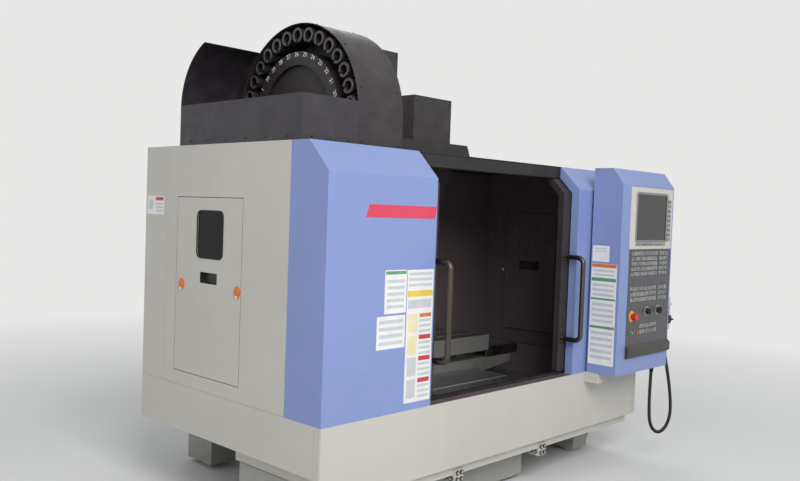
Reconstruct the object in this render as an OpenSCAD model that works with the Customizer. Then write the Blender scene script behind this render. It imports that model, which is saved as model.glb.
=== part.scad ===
// Vertical machining centre with a side drum magazine, two sliding front doors and a swivelling
// operator pendant. X runs to the right, Y to the back and Z up. Every place below is measured
// from the front left corner of the skirt on the floor; place() moves it to the middle of the
// footprint.

/* [Enclosure] */
// Depth of the side covers behind the front face
body_d = 1363; // [1340:1:1420]
// Height of the roof above the floor
roof_z = 1674; // [1664:1:1700]
// Height of the sill under the covers
sill_z = 551; // [545:1:560]
// Height of the skirt at the sides
skirt_side_h = 211; // [190:1:230]
// Height of the deeper skirt in front
skirt_front_h = 313; // [280:1:330]
// Height of the ledge set back under the front skirt
front_ledge_h = 49; // [30:1:60]
// Height of the ledge set back under the side skirt
side_ledge_h = 69; // [40:1:80]
// Radius of the bend at the skirt's two upright corners
skirt_corner_r = 6; // [5:1:20]
// Thickness of the cover sheets
sheet = 3; // [2:0.5:4]
// Depth of the bevel along the top front edge
bevel_y = 120; // [90:1:140]
// Height of the bevel along the top front edge
bevel_h = 123; // [90:1:140]
// Width of the left front cover
left_cover_w = 633; // [600:1:660]
// Width of the right front cover
right_cover_w = 720; // [690:1:760]
// Depth of the front covers along the machine's sides
cover_side_d = 230; // [200:1:300]
// Depth of the flange along the doorway
cover_flange = 45; // [30:1:46]

/* [Front doors] */
// Width of the doorway between the front covers
doorway_w = 1147; // [1100:1:1180]
// Overlap of a closed leaf behind its front cover
leaf_lap = 48.5; // [40:0.5:60]
// Width of an open leaf that stands in the doorway
leaf_show = 68; // [50:1:80]
// Depth of the leaf's face behind the front covers
leaf_setback = 50; // [48:1:60]
// Thickness of a leaf
leaf_t = 35; // [28:1:40]
// Height of the leaf's top edge
leaf_top_z = 1607; // [1590:1:1612]
// Width of the leaf's window
window_w = 300; // [200:5:400]
// Height of the leaf's window
window_h = 520; // [300:5:640]
// Thickness of the window panes
pane_t = 10; // [6:1:12]
// Diameter of a handle's tube
handle_d = 26; // [20:1:32]
// Height of a handle between its legs
handle_h = 442; // [360:1:480]
// Distance of a handle's far side from the leaf
handle_reach = 125; // [90:1:130]

/* [Service doors] */
// Place of a service door's front edge
service_y = 551; // [540:1:560]
// Width of a service door
service_w = 519; // [500:1:530]
// Height of a service door's lower edge
service_z = 620; // [600:1:640]
// Height of a service door
service_h = 813; // [780:1:840]
// Gap round a service door
service_gap = 3.5; // [1:0.5:5]
// Length of a latch's tongue
tongue_l = 62; // [50:1:64]

/* [Machine] */
// Distance of the spindle's axis behind the front face
spindle_y = 700; // [690:1:720]
// Throat from the spindle's axis to the column
throat = 450; // [440:1:460]
// Travel of the table to each side
x_travel = 381; // [300:1:390]
// Travel of the saddle forwards and backwards
y_travel = 217.5; // [180:0.5:220]
// Travel of the head downwards
z_travel = 510; // [450:1:520]
// Length of the table
table_l = 920; // [880:5:960]
// Width of the table
table_w = 435; // [400:5:440]
// Height of the table's top above the floor
table_z = 720; // [715:1:730]
// Thickness of the table
table_t = 90; // [80:1:95]
// Width of a table slot
slot_w = 18; // [14:1:20]
// Distance between table slots
slot_pitch = 125; // [100:5:130]
// Height of the column's top
column_top = 2000; // [1980:5:2020]
// Width of the column above its legs
column_w = 600; // [580:10:620]

/* [Magazine] */
// Place of the drum's front face
drum_x = 304; // [300:1:310]
// Distance of the drum's axis behind the front face
drum_y = 597; // [590:1:605]
// Height of the drum's axis
drum_z = 1815; // [1810:1:1820]
// Radius of the circle of pots
pot_ring_r = 372; // [366:1:374]
// Number of pots
pot_count = 30; // [24:2:30]
// Outer diameter of a pot
pot_d = 68; // [60:1:68]
// Length of a pot
pot_l = 100; // [90:1:102]
// Distance of a pot's hinge behind its mouth
pot_hinge = 39; // [36:1:40]
// Outer radius of the drum cover
drum_cover_r = 425; // [424:1:430]
// Right edge of the drum cover
drum_cover_x = 575; // [560:1:590]
// Height of the tool space's walls
tool_wall_z = 1860; // [1840:1:1880]
// Stroke of the change arm
arm_stroke = 120; // [100:1:125]

/* [Pendant] */
// Place of the pendant's left side
pendant_x = 1905; // [1895:1:1915]
// Width of the pendant
pendant_w = 590; // [560:1:600]
// Distance of the pendant's face in front of the covers
pendant_out = 190; // [170:1:200]
// Height of the pendant's underside
pendant_z = 556; // [550:1:600]
// Width of the blue border left of the panel
panel_border = 92; // [80:1:100]
// Height of the blue border under the panel
panel_foot = 84; // [70:1:100]
// Diameter of the handset's cord
cord_d = 20; // [16:1:24]

/* [Hidden] */

// Fineness of round faces
$fn = 64;
// Gap between pieces of two bodies that rest on each other
rest_gap = 0.3;
// Radial gap of a shaft in its bore
run_gap = 0.05;
// Overshoot of a cut past the face that it opens
cut = 1;

// Colours
shell_grey = [0.69, 0.67, 0.64];
cover_blue = [0.50, 0.58, 0.80];
sheet_black = [0.13, 0.12, 0.12];
cover_grey = [0.29, 0.28, 0.29];
cast_grey = [0.62, 0.61, 0.58];
steel = [0.72, 0.73, 0.74];
chrome = [0.86, 0.87, 0.88];
glass_tint = [0.20, 0.22, 0.22, 0.5];
rubber_black = [0.06, 0.06, 0.06];

// Width over the skirt, doorway and spindle
body_w = left_cover_w + doorway_w + right_cover_w;
doorway_x0 = left_cover_w;
doorway_x1 = left_cover_w + doorway_w;
spindle_x = doorway_x0 + doorway_w / 2;
column_y = spindle_y + throat;
bevel_z = roof_z - bevel_h;
bevel_len = sqrt(bevel_y * bevel_y + bevel_h * bevel_h);

// Frame of the whole part: middle of the footprint, reached by the latches, the pendant's
// buttons and holder, and the cabinet's switch
latch_head = 8;
knob_out = 32;
holder_w = 62;
cabinet_y0 = 1790;
cabinet_d = 330;
switch_out = 42;
origin_x = (-latch_head + pendant_x + pendant_w + holder_w) / 2;
origin_y = (-pendant_out - knob_out + cabinet_y0 + cabinet_d + switch_out) / 2;

module place() { translate([-origin_x, -origin_y, 0]) children(); }
module span(low, high) { translate(low) cube(high - low); }
// An outline in Y and Z, drawn out along X
module along_x(x0, x1) { translate([x0, 0, 0]) rotate([90, 0, 90]) linear_extrude(x1 - x0) children(); }
// An outline in X and Z, drawn out along Y
module along_y(y0, y1) { translate([0, y1, 0]) rotate([90, 0, 0]) linear_extrude(y1 - y0) children(); }
module rod_x(p, d, l) { translate(p) rotate([0, 90, 0]) cylinder(d = d, h = l); }
module rod_y(p, d, l) { translate(p) rotate([-90, 0, 0]) cylinder(d = d, h = l); }
module rod_z(p, d, l) { translate(p) cylinder(d = d, h = l); }
module mirror_side() { translate([body_w, 0, 0]) mirror([1, 0, 0]) children(); }
// A rectangle with round corners
module round_rect(low, high, r) {
  translate([low[0] + r, low[1]]) square([high[0] - low[0] - 2 * r, high[1] - low[1]]);
  translate([low[0], low[1] + r]) square([high[0] - low[0], high[1] - low[1] - 2 * r]);
  for (x = [low[0] + r, high[0] - r], y = [low[1] + r, high[1] - r]) translate([x, y]) circle(r);
}

// The front profile: upright, then bevelled back to the roof. face_line() gives it at a depth d
// behind the front face, from height z0 up to z1.
function knee_z(d) = bevel_z - d * (bevel_len - bevel_h) / bevel_y;
function top_y(d, z) = bevel_y + d * bevel_len / bevel_h + (z - roof_z) * bevel_y / bevel_h;
function face_line(d, z0, z1) = [[d, z0], [d, knee_z(d)], [top_y(d, z1), z1]];
function reversed(list) = [for (i = [len(list) - 1:-1:0]) list[i]];
function face_wall(d0, d1, z0, z1) = concat(face_line(d0, z0, z1), reversed(face_line(d1, z0, z1)));

// Base casting
bed_w = 700;
bed_x0 = spindle_x - bed_w / 2;
bed_x1 = spindle_x + bed_w / 2;
bed_z = 440;
bed_y0 = 150;
bed_step_y = 262;
bed_step_z = 395;
base_y1 = 1750;
column_foot_w = 1000;
pad_h = 22;
front_foot = [181, 324, 215, 600];
rear_foot = [375, 527, 1300, 1523];
arm_low_z = 215;
arm_top_z = sill_z - skirt_side_h - side_ledge_h;
foot_arm_x = 56;
foot_fillet = 70;
rib = 30;

// A foot's outline in X and Z seen from the machine's side: an upright pad under an arm that runs
// from the bed's side out to the skirt's ledge, with a fillet under its outer end
module foot_arm(bed_side) {
  flank_x = front_foot[0];
  fillet_z = arm_low_z - foot_fillet - 36;
  arc = [for (a = [0:15:90]) [flank_x - foot_fillet + foot_fillet * cos(a),
    fillet_z + foot_fillet * sin(a) - foot_fillet]];
  along_y(front_foot[2], front_foot[3])
    polygon(concat([[bed_side + cut, arm_low_z], [front_foot[1], arm_low_z],
      [front_foot[1], pad_h], [flank_x, pad_h]], arc, [[foot_arm_x, fillet_z],
      [foot_arm_x, arm_top_z], [bed_side + cut, arm_top_z]]));
  along_y(rear_foot[2], rear_foot[3])
    polygon([[bed_side + cut, arm_low_z], [rear_foot[1], arm_low_z], [rear_foot[1], pad_h],
      [rear_foot[0], pad_h], [rear_foot[0], arm_top_z], [bed_side + cut, arm_top_z]]);
}

y_rail_x = 270;
y_rail_w = 45;
y_rail_h = 30;
y_rail_y0 = bed_step_y + 6;
y_rail_y1 = column_y - 5;
module base() {
  bays = 7;
  bay_y = (base_y1 - bed_y0 - rib) / bays;
  bay_x = (bed_w - 4 * rib) / 3;
  color(cast_grey) place() difference() {
    union() {
      span([bed_x0, bed_y0, pad_h], [bed_x1, column_y, bed_step_z]);
      span([bed_x0, bed_step_y, pad_h], [bed_x1, column_y, bed_z]);
      span([spindle_x - column_foot_w / 2, column_y, pad_h],
        [spindle_x + column_foot_w / 2, base_y1, bed_z]);
      foot_arm(bed_x0);
      mirror_side() foot_arm(body_w - bed_x1);
      for (side = [-1, 1]) translate([spindle_x + side * y_rail_x - y_rail_w / 2, y_rail_y0, bed_z])
        cube([y_rail_w, y_rail_y1 - y_rail_y0, y_rail_h]);
    }
    for (i = [0:2], j = [0:bays - 1])
      translate([bed_x0 + rib + i * (bay_x + rib), bed_y0 + rib + j * bay_y, pad_h - cut])
        cube([bay_x, bay_y - rib, bed_step_z - 2 * rib - pad_h + cut]);
  }
}

pad_d = 90;
front_pad_x = (front_foot[0] + front_foot[1]) / 2;
rear_pad_x = (rear_foot[0] + rear_foot[1]) / 2;
rear_pad_y = (rear_foot[2] + rear_foot[3]) / 2;
pad_places = [[front_pad_x, front_foot[2] + 85], [front_pad_x, front_foot[3] - 80],
  [body_w - front_pad_x, front_foot[2] + 85], [body_w - front_pad_x, front_foot[3] - 80],
  [rear_pad_x, rear_pad_y], [body_w - rear_pad_x, rear_pad_y],
  [bed_x0 + 45, 838], [bed_x1 - 45, 838],
  [spindle_x - column_foot_w / 2 + 70, base_y1 - 70],
  [spindle_x + column_foot_w / 2 - 70, base_y1 - 70]];
module levelling_pads() {
  color(steel) place() for (p = pad_places) translate([p[0], p[1], 0]) {
    cylinder(d = pad_d, h = pad_h - 8);
    cylinder(d1 = pad_d - 20, d2 = pad_d - 40, h = pad_h);
  }
}

// Column: two legs stand on the base and carry the upright that bears the head's guide rails
leg_out = column_foot_w / 2;
leg_in = 340;
leg_foot_z = 560;
leg_join_z = 950;
arch_z = 690;
module column_outline() {
  half = column_w / 2;
  polygon([[spindle_x - leg_out, bed_z], [spindle_x - leg_out, leg_foot_z],
    [spindle_x - half, leg_join_z], [spindle_x - half, column_top],
    [spindle_x + half, column_top], [spindle_x + half, leg_join_z],
    [spindle_x + leg_out, leg_foot_z], [spindle_x + leg_out, bed_z], [spindle_x + leg_in, bed_z],
    [spindle_x + leg_in, arch_z - 50], [spindle_x + leg_in - 50, arch_z],
    [spindle_x - leg_in + 50, arch_z], [spindle_x - leg_in, arch_z - 50],
    [spindle_x - leg_in, bed_z]]);
}
column_y1 = 1600;
z_rail_x = 180;
z_rail_w = 45;
z_rail_h = 38;
z_rail_z0 = 900;
column_wall = 60;
module column() {
  half = column_w / 2;
  bays = [[leg_join_z + 40, 1270], [1300, 1600], [1630, column_top - 40]];
  color(cast_grey) place() {
    difference() {
      intersection() {
        along_y(column_y, base_y1) column_outline();
        along_x(0, body_w) polygon([[column_y, bed_z], [base_y1, bed_z], [base_y1, 600],
          [column_y1, 800], [column_y1, column_top], [column_y, column_top]]);
      }
      for (bay = bays) span([spindle_x - half + column_wall, column_y + column_wall, bay[0]],
        [spindle_x + half - column_wall, column_y1 + cut, bay[1]]);
    }
    for (side = [-1, 1]) translate([spindle_x + side * z_rail_x - z_rail_w / 2,
      column_y - z_rail_h, z_rail_z0]) cube([z_rail_w, z_rail_h, column_top - 20 - z_rail_z0]);
  }
}

// Skirt: a sheet-metal pan round the machine with round front corners, a deeper front, a ledge
// set back under it and chutes that slope down to the bed
skirt_t = 4;
skirt_lip = 70;
sill_lip = 92;
skirt_side_z = sill_z - skirt_side_h;
skirt_front_z = sill_z - skirt_front_h;
front_wrap = 40;
front_ledge_y = 30;
side_ledge_x = 60;
side_ledge_y1 = 636;
seam_w = 3;
seam_d = 1.2;
module skirt_plan(d, back) {
  r = skirt_corner_r - d;
  translate([d + r, d]) square([body_w - 2 * d - 2 * r, back - d]);
  translate([d, d + r]) square([body_w - 2 * d, back - d - r]);
  for (x = [d + r, body_w - d - r]) translate([x, d + r]) circle(r);
}
module skirt_wall() {
  difference() { skirt_plan(0, body_d); skirt_plan(skirt_t, body_d + cut); }
}
chute_x = skirt_lip + 163;
chute_z = sill_z - 149;
chute_bed_z = sill_z - 199;
module chute(bed_side) {
  along_y(skirt_t, column_y - sheet) polygon([[skirt_lip - skirt_t, sill_z - skirt_t],
    [skirt_lip, sill_z - skirt_t], [chute_x, chute_z], [bed_side, chute_bed_z],
    [bed_side, chute_bed_z - sheet], [chute_x - 1, chute_z - sheet]]);
}
module skirt_side() {
  span([0, front_wrap, skirt_side_z], [side_ledge_x, body_d, skirt_side_z + skirt_t]);
  span([side_ledge_x, front_ledge_y, skirt_side_z - side_ledge_h],
    [side_ledge_x + skirt_t, side_ledge_y1, skirt_side_z + skirt_t]);
}
module skirt() {
  color(shell_grey) place() {
    difference() {
      translate([0, 0, skirt_side_z]) linear_extrude(skirt_side_h) skirt_wall();
      for (x = [-cut, body_w - seam_d]) translate([x, front_wrap, skirt_side_z - cut])
        cube([seam_d + cut, seam_w, skirt_side_h - skirt_t]);
    }
    translate([0, 0, skirt_front_z]) linear_extrude(skirt_side_z - skirt_front_z + skirt_t)
      intersection() { skirt_wall(); square([body_w, front_wrap]); }
    translate([0, 0, sill_z - skirt_t]) linear_extrude(skirt_t)
      difference() {
        skirt_plan(0, body_d);
        translate([skirt_lip, sill_lip]) square([body_w - 2 * skirt_lip, body_d]);
      }
    span([skirt_corner_r, skirt_t, skirt_front_z],
      [body_w - skirt_corner_r, front_ledge_y, skirt_front_z + skirt_t]);
    span([side_ledge_x, front_ledge_y, skirt_front_z - front_ledge_h],
      [body_w - side_ledge_x, front_ledge_y + skirt_t, skirt_front_z + skirt_t]);
    skirt_side();
    mirror_side() skirt_side();
    chute(bed_x0);
    mirror_side() chute(body_w - bed_x1);
    span([bed_x0, skirt_t, chute_bed_z - sheet], [bed_x1, bed_y0, chute_bed_z]);
  }
}

// Small angle brackets under the front of the skirt with their screw heads, and the post that
// the pendant turns on
bracket_x = [880, 1560];
bracket_w = 62;
bracket_h = 66;
screw_d = 20;
pivot_in = 34;
pendant_back = 15;
pivot_x = pendant_x + pivot_in;
pivot_y = -pendant_back - pivot_in;
post_d = 36;
post_z1 = 1500;
module bracket(x) {
  low_z = skirt_front_z - front_ledge_h - 40;
  translate([x - bracket_w / 2, front_ledge_y - 8, low_z]) cube([bracket_w, 8, bracket_h]);
  translate([x - bracket_w / 2, front_ledge_y - 8, low_z]) cube([8, 66, bracket_h - 26]);
  for (dx = [-15, 15], dz = [16, 48]) rod_y([x + dx, front_ledge_y - 15, low_z + dz], screw_d, 8);
  for (dy = [14, 42]) rod_x([x - bracket_w / 2 - 7, front_ledge_y + dy, low_z + 20], screw_d, 8);
}
module skirt_brackets() {
  color(steel) place() {
    for (x = bracket_x) bracket(x);
    span([pivot_x - 35, pivot_y - 35, pendant_z - 56], [pivot_x + 35, 0, pendant_z - rest_gap]);
    rod_z([pivot_x, pivot_y, pendant_z - rest_gap - cut], post_d, post_z1 - pendant_z + rest_gap + cut);
  }
}

// Side panels with the opening for a service door and its rebate
service_y1 = service_y + service_w;
service_z1 = service_z + service_h;
rebate = 14;
rebate_back = 20;
seam_y = 1160;
module service_hole(grow) {
  translate([service_y - grow, service_z - grow]) square([service_w + 2 * grow, service_h + 2 * grow]);
}
module side_panel() {
  difference() {
    along_x(0, sheet) difference() {
      translate([cover_side_d, sill_z]) square([body_d - cover_side_d, roof_z - sill_z]);
      service_hole(service_gap);
    }
    span([-cut, seam_y, sill_z - cut], [1, seam_y + 2, roof_z + cut]);
    span([-cut, cover_side_d - cut, sill_z - cut], [seam_d, cover_side_d + seam_w, roof_z + cut]);
    span([-cut, cover_side_d, sill_z - cut], [seam_d, body_d + cut, sill_z + seam_w]);
  }
  along_x(sheet, 2 * sheet) difference() {
    service_hole(rebate_back);
    service_hole(service_gap - rebate);
  }
  span([sheet, body_d - sheet, sill_z], [40, body_d, roof_z - sheet]);
}
module left_side_panel() { color(shell_grey) place() side_panel(); }
module right_side_panel() { color(shell_grey) place() mirror_side() side_panel(); }

// Front covers: a bent sheet with a flange at the doorway, a side strip and a lip under the roof
cover_lip_y = 150;
beam_y0 = bevel_y + 5;
beam_z0 = leaf_top_z + 4;
module front_cover(w) {
  lip = [[cover_lip_y, roof_z], [cover_lip_y, roof_z - sheet], [beam_y0 - 1, roof_z - sheet],
    [beam_y0 - 1, beam_z0]];
  along_x(0, w) polygon(face_wall(0, sheet, sill_z, roof_z));
  along_x(w - sheet, w) polygon(concat(face_line(0, sill_z, roof_z), lip,
    reversed(face_line(cover_flange, sill_z, beam_z0))));
  along_x(0, sheet) polygon(concat(face_line(0, sill_z, roof_z),
    [[cover_side_d, roof_z], [cover_side_d, sill_z]]));
  span([0, bevel_y, roof_z - sheet], [w, cover_lip_y, roof_z]);
}
module left_front_cover() { color(cover_blue) place() front_cover(left_cover_w); }
module right_front_cover() { color(cover_blue) place() mirror_side() front_cover(body_w - doorway_x1); }

// Roof with openings for the magazine and the head, and the low hood round the head's opening
tool_wall_y0 = 168;
tool_wall_y1 = 1066;
hood_half = 272;
hood_flare = 45;
hood_y0 = 540;
hood_h = 102;
head_gap = 14;
head_cover_half = 147;
head_cover_y0 = 560;
module roof() {
  color(sheet_black) place() {
    translate([0, 0, roof_z - sheet]) linear_extrude(sheet) difference() {
      union() {
        translate([sheet, cover_lip_y]) square([body_w - 2 * sheet, body_d - cover_lip_y]);
        translate([doorway_x0, bevel_y]) square([doorway_w, cover_lip_y - bevel_y]);
      }
      translate([2 * sheet, tool_wall_y0 + sheet])
        square([drum_x - 2 * sheet, tool_wall_y1 - tool_wall_y0 - 2 * sheet]);
      translate([drum_x - cut, drum_y - drum_cover_r + sheet])
        square([drum_cover_x - sheet - drum_x + cut, 2 * (drum_cover_r - sheet)]);
      translate([spindle_x - hood_half, hood_y0 + 5]) square([2 * hood_half, body_d - hood_y0]);
      translate([spindle_x - column_w / 2 - 2, column_y - 2]) square([column_w + 4, body_d - column_y + 3]);
    }
    difference() {
      along_y(hood_y0, column_y - 2) polygon([[spindle_x - hood_half - hood_flare, roof_z],
        [spindle_x - hood_half, roof_z + hood_h], [spindle_x + hood_half, roof_z + hood_h],
        [spindle_x + hood_half + hood_flare, roof_z]]);
      along_y(hood_y0 + sheet, column_y) polygon([
        [spindle_x - hood_half - hood_flare + sheet, roof_z - cut],
        [spindle_x - hood_half + sheet, roof_z + hood_h + cut],
        [spindle_x + hood_half - sheet, roof_z + hood_h + cut],
        [spindle_x + hood_half + hood_flare - sheet, roof_z - cut]]);
    }
  }
}

// Beam over the doorway: a channel, open below, with the rail that the leaves hang from, and the
// guide on the sill that their tongues run in
beam_y1 = 192;
beam_t = 4;
rail_y = 170;
rail_z = 1632;
rail_w = 16;
guide_z = 15;
tongue_y = leaf_setback + leaf_t / 2;
tongue_t = 6;
module header_beam() {
  color(sheet_black) place() {
    difference() {
      span([sheet, beam_y0, beam_z0], [body_w - sheet, beam_y1, roof_z - sheet]);
      span([-cut, beam_y0 + beam_t, beam_z0 - cut],
        [body_w + cut, beam_y1 - beam_t, roof_z - sheet - beam_t]);
    }
    span([60, rail_y, rail_z], [body_w - 60, beam_y1 - beam_t, rail_z + rail_w]);
    for (side = [-1, 1]) translate([60, tongue_y + side * (tongue_t / 2 + 5.5) - 1.5, sill_z])
      cube([body_w - 120, 3, guide_z]);
  }
}

// Rear partition: two sheets beside the column that close the work space down to the chutes
part_low = 345;
part_high = 295;
part_step_z = arch_z - 30;
arm_beam = [790, spindle_x - column_w / 2, 1470, 1650];
module partition_half(axis_x, bed_side) {
  along_y(column_y - sheet, column_y) polygon([[sheet, sill_z], [skirt_lip, sill_z],
    [skirt_lip, sill_z - skirt_t], [skirt_lip - skirt_t, sill_z - skirt_t],
    [chute_x - 1, chute_z - sheet], [bed_side, chute_bed_z - sheet], [bed_side, bed_z],
    [axis_x - part_low, bed_z], [axis_x - part_low, part_step_z],
    [axis_x - part_high, part_step_z], [axis_x - part_high, roof_z - sheet],
    [sheet, roof_z - sheet]]);
}
module rear_partition() {
  color(sheet_black) place() {
    difference() {
      partition_half(spindle_x, bed_x0);
      span([arm_beam[0] - 2, column_y - sheet - cut, arm_beam[2] - 2],
        [spindle_x, column_y + cut, arm_beam[3] + 2]);
    }
    mirror_side() partition_half(body_w - spindle_x, body_w - bed_x1);
  }
}

// Tool space cover: low walls on the left and in front, and a rear sheet that curves up to the
// drum cover, with a flange that closes the corner beside the drum
wall_t = 2.5;
arc_y = 752;
arc_z = 1850;
arc_r = tool_wall_y1 - arc_y;
arc_end = 66;
flange_t = 2.5;
module rear_sheet(r0, r1) {
  reach = 2 * r1;
  intersection() {
    translate([arc_y, arc_z]) difference() {
      circle(r1);
      if (r0 > 0) circle(r0);
    }
    translate([arc_y, arc_z]) polygon([[0, 0], [reach, 0], [reach, reach],
      [reach * cos(arc_end), reach * sin(arc_end)]]);
  }
}
module tool_space_cover() {
  color(cover_grey) place() {
    span([0, tool_wall_y0, roof_z], [wall_t, tool_wall_y1, tool_wall_z]);
    span([0, tool_wall_y0, roof_z], [drum_x, tool_wall_y0 + wall_t, tool_wall_z]);
    span([0, tool_wall_y1 - wall_t, roof_z], [drum_x, tool_wall_y1, arc_z]);
    along_x(0, drum_x) rear_sheet(arc_r - wall_t, arc_r);
    along_x(drum_x - flange_t, drum_x) difference() {
      union() {
        translate([drum_y + drum_cover_r - sheet, roof_z])
          square([tool_wall_y1 - drum_y - drum_cover_r + sheet, arc_z - roof_z]);
        rear_sheet(0, arc_r);
      }
      translate([drum_y, drum_z]) circle(drum_cover_r - sheet);
    }
  }
}

module drum_outline(r) {
  translate([drum_y, drum_z]) circle(r);
  translate([drum_y - r, roof_z]) square([2 * r, drum_z - roof_z]);
}
module drum_cover() {
  color(cover_grey) place() {
    intersection() {
      union() {
        along_x(drum_x, drum_cover_x) difference() {
          drum_outline(drum_cover_r);
          drum_outline(drum_cover_r - sheet);
        }
        along_x(drum_cover_x - sheet, drum_cover_x) drum_outline(drum_cover_r);
      }
      span([0, 0, roof_z], [body_w, body_d, 3000]);
    }
  }
}

// Magazine frame: the plate that carries the drum, its motor, the change arm's gear box and the
// beam that bolts to the column
drum_shaft_d = 60;
drum_plate = [540, 565, 497, 830, 1480, 1950];
arm_x = (drum_x + pot_hinge + spindle_x) / 2;
arm_y = (drum_y + spindle_y) / 2;
gear_box = [arm_x - 110, arm_x + 110, 518, 790, 1400, 1660];
arm_shaft_d = 60;
arm_collar_d = 86;
mag_motor_d = 90;
beam_back = 180;
module magazine_frame() {
  color(cast_grey) place() difference() {
    union() {
      span([drum_plate[0], drum_plate[2], drum_plate[4]],
        [drum_plate[1], drum_plate[3], drum_plate[5]]);
      rod_x([drum_plate[0] - 40, drum_y, drum_z], 150, 40);
      rod_x([drum_plate[0] - 100, drum_y + 165, drum_z - 115], mag_motor_d, 100);
      span([drum_plate[1], 540, 1500], [gear_box[0], 660, gear_box[5]]);
      span([gear_box[0], gear_box[2], gear_box[4]], [gear_box[1], gear_box[3], gear_box[5]]);
      span([arm_beam[0], gear_box[3] - 30, arm_beam[2]],
        [arm_beam[1], column_y + beam_back, arm_beam[3]]);
    }
    rod_x([0, drum_y, drum_z], drum_shaft_d + 2 * run_gap, drum_plate[1] + cut);
    rod_z([arm_x, arm_y, gear_box[4] - cut], arm_shaft_d + 2 * run_gap,
      gear_box[5] - gear_box[4] - 9);
  }
}

motor_cover = [spindle_x - 166.5, spindle_x + 167.5, 1000, 1330, column_top, column_top + 320];
module z_motor_cover() {
  color(cover_grey) place() difference() {
    span([motor_cover[0], motor_cover[2], motor_cover[4]],
      [motor_cover[1], motor_cover[3], motor_cover[5]]);
    span([motor_cover[0] + wall_t, motor_cover[2] + wall_t, motor_cover[4] - cut],
      [motor_cover[1] - wall_t, motor_cover[3] - wall_t, motor_cover[5] - wall_t]);
  }
}

// Electrical cabinet on beams behind the column, its plate with switchgear, door and main switch
cabinet_x0 = 650;
cabinet_x1 = 1764;
cabinet_z0 = 700;
cabinet_z1 = 1690;
door_t = 20;
cabinet_y1 = cabinet_y0 + cabinet_d - door_t;
gear_plate_y = 1830;
hinge_pin_d = 8;
hinge_barrel_d = 16;
hinge_x = cabinet_x1 + hinge_barrel_d / 2 - 2;
hinge_y = cabinet_y1 + 10;
hinge_z = [800, 1180, 1560];
hinge_l = 40;
module cabinet_gear(x, z, w, h, d) { translate([x, gear_plate_y + 4, z]) cube([w, d, h]); }
module electrical_cabinet() {
  color(shell_grey) place() {
    difference() {
      span([cabinet_x0, cabinet_y0, cabinet_z0], [cabinet_x1, cabinet_y1, cabinet_z1]);
      span([cabinet_x0 + sheet, cabinet_y0 + sheet, cabinet_z0 + sheet],
        [cabinet_x1 - sheet, cabinet_y1 + cut, cabinet_z1 - sheet]);
    }
    for (x = [spindle_x - column_w / 2, spindle_x + column_w / 2 - column_wall], z = [1000, 1560])
      translate([x, column_y1, z]) cube([column_wall, cabinet_y0 - column_y1, 60]);
    for (x = [cabinet_x0 + 60, cabinet_x1 - 90], z = [cabinet_z0 + 80, cabinet_z1 - 110])
      translate([x, cabinet_y0 + sheet, z]) cube([30, gear_plate_y - cabinet_y0 - sheet, 30]);
    span([cabinet_x0 + 40, gear_plate_y, cabinet_z0 + 50],
      [cabinet_x1 - 40, gear_plate_y + 4, cabinet_z1 - 50]);
    for (i = [0:5]) cabinet_gear(cabinet_x0 + 90 + 110 * i, 1330, 90, 260, 150);
    for (i = [0:9]) cabinet_gear(cabinet_x0 + 90 + 62 * i, 1130, 52, 90, 80);
    cabinet_gear(cabinet_x1 - 280, 1130, 180, 460, 120);
    cabinet_gear(cabinet_x0 + 90, 800, 260, 220, 160);
    for (i = [0:3]) cabinet_gear(cabinet_x0 + 420 + 140 * i, 820, 110, 180, 110);
    for (z = hinge_z) {
      rod_z([hinge_x, hinge_y, z - hinge_l], hinge_barrel_d, hinge_l - rest_gap);
      rod_z([hinge_x, hinge_y, z - hinge_l], hinge_pin_d, 2 * hinge_l - 4);
      translate([cabinet_x1 - cut, cabinet_y1 - 24, z - hinge_l])
        cube([hinge_x - cabinet_x1, 29, hinge_l - rest_gap]);
    }
  }
}
module cabinet_door() {
  y0 = cabinet_y1 + rest_gap;
  color(shell_grey) place() difference() {
    union() {
      span([cabinet_x0, y0, cabinet_z0], [cabinet_x1 - 4, y0 + sheet, cabinet_z1]);
      difference() {
        span([cabinet_x0, y0, cabinet_z0], [cabinet_x1 - 4, cabinet_y0 + cabinet_d, cabinet_z1]);
        span([cabinet_x0 + sheet, y0 - cut, cabinet_z0 + sheet],
          [cabinet_x1 - 4 - sheet, cabinet_y0 + cabinet_d - sheet, cabinet_z1 - sheet]);
      }
      for (z = hinge_z) {
        rod_z([hinge_x, hinge_y, z], hinge_barrel_d, hinge_l);
        translate([cabinet_x1 - 6, hinge_y - 3, z]) cube([hinge_x - cabinet_x1 + 6, 6, hinge_l]);
      }
      rod_y([switch_x, cabinet_y0 + cabinet_d, switch_z], 64, 6);
    }
    for (z = hinge_z)
      rod_z([hinge_x, hinge_y, z - cut], hinge_pin_d + 2 * run_gap, hinge_l + 2 * cut);
    rod_y([switch_x, y0 - cut, switch_z], switch_shaft_d + 2 * run_gap, door_t + 10);
  }
}
switch_x = cabinet_x0 + 140;
switch_z = 1400;
switch_shaft_d = 12;
module main_switch() {
  y0 = cabinet_y0 + cabinet_d + 6 + rest_gap;
  color([0.75, 0.10, 0.08]) place() {
    rod_y([switch_x, cabinet_y0 + cabinet_d - 10, switch_z], switch_shaft_d, 20);
    rod_y([switch_x, y0, switch_z], 46, 14);
    translate([switch_x - 8, y0, switch_z - 34]) cube([16, switch_out - 6 - rest_gap, 68]);
  }
}

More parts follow.
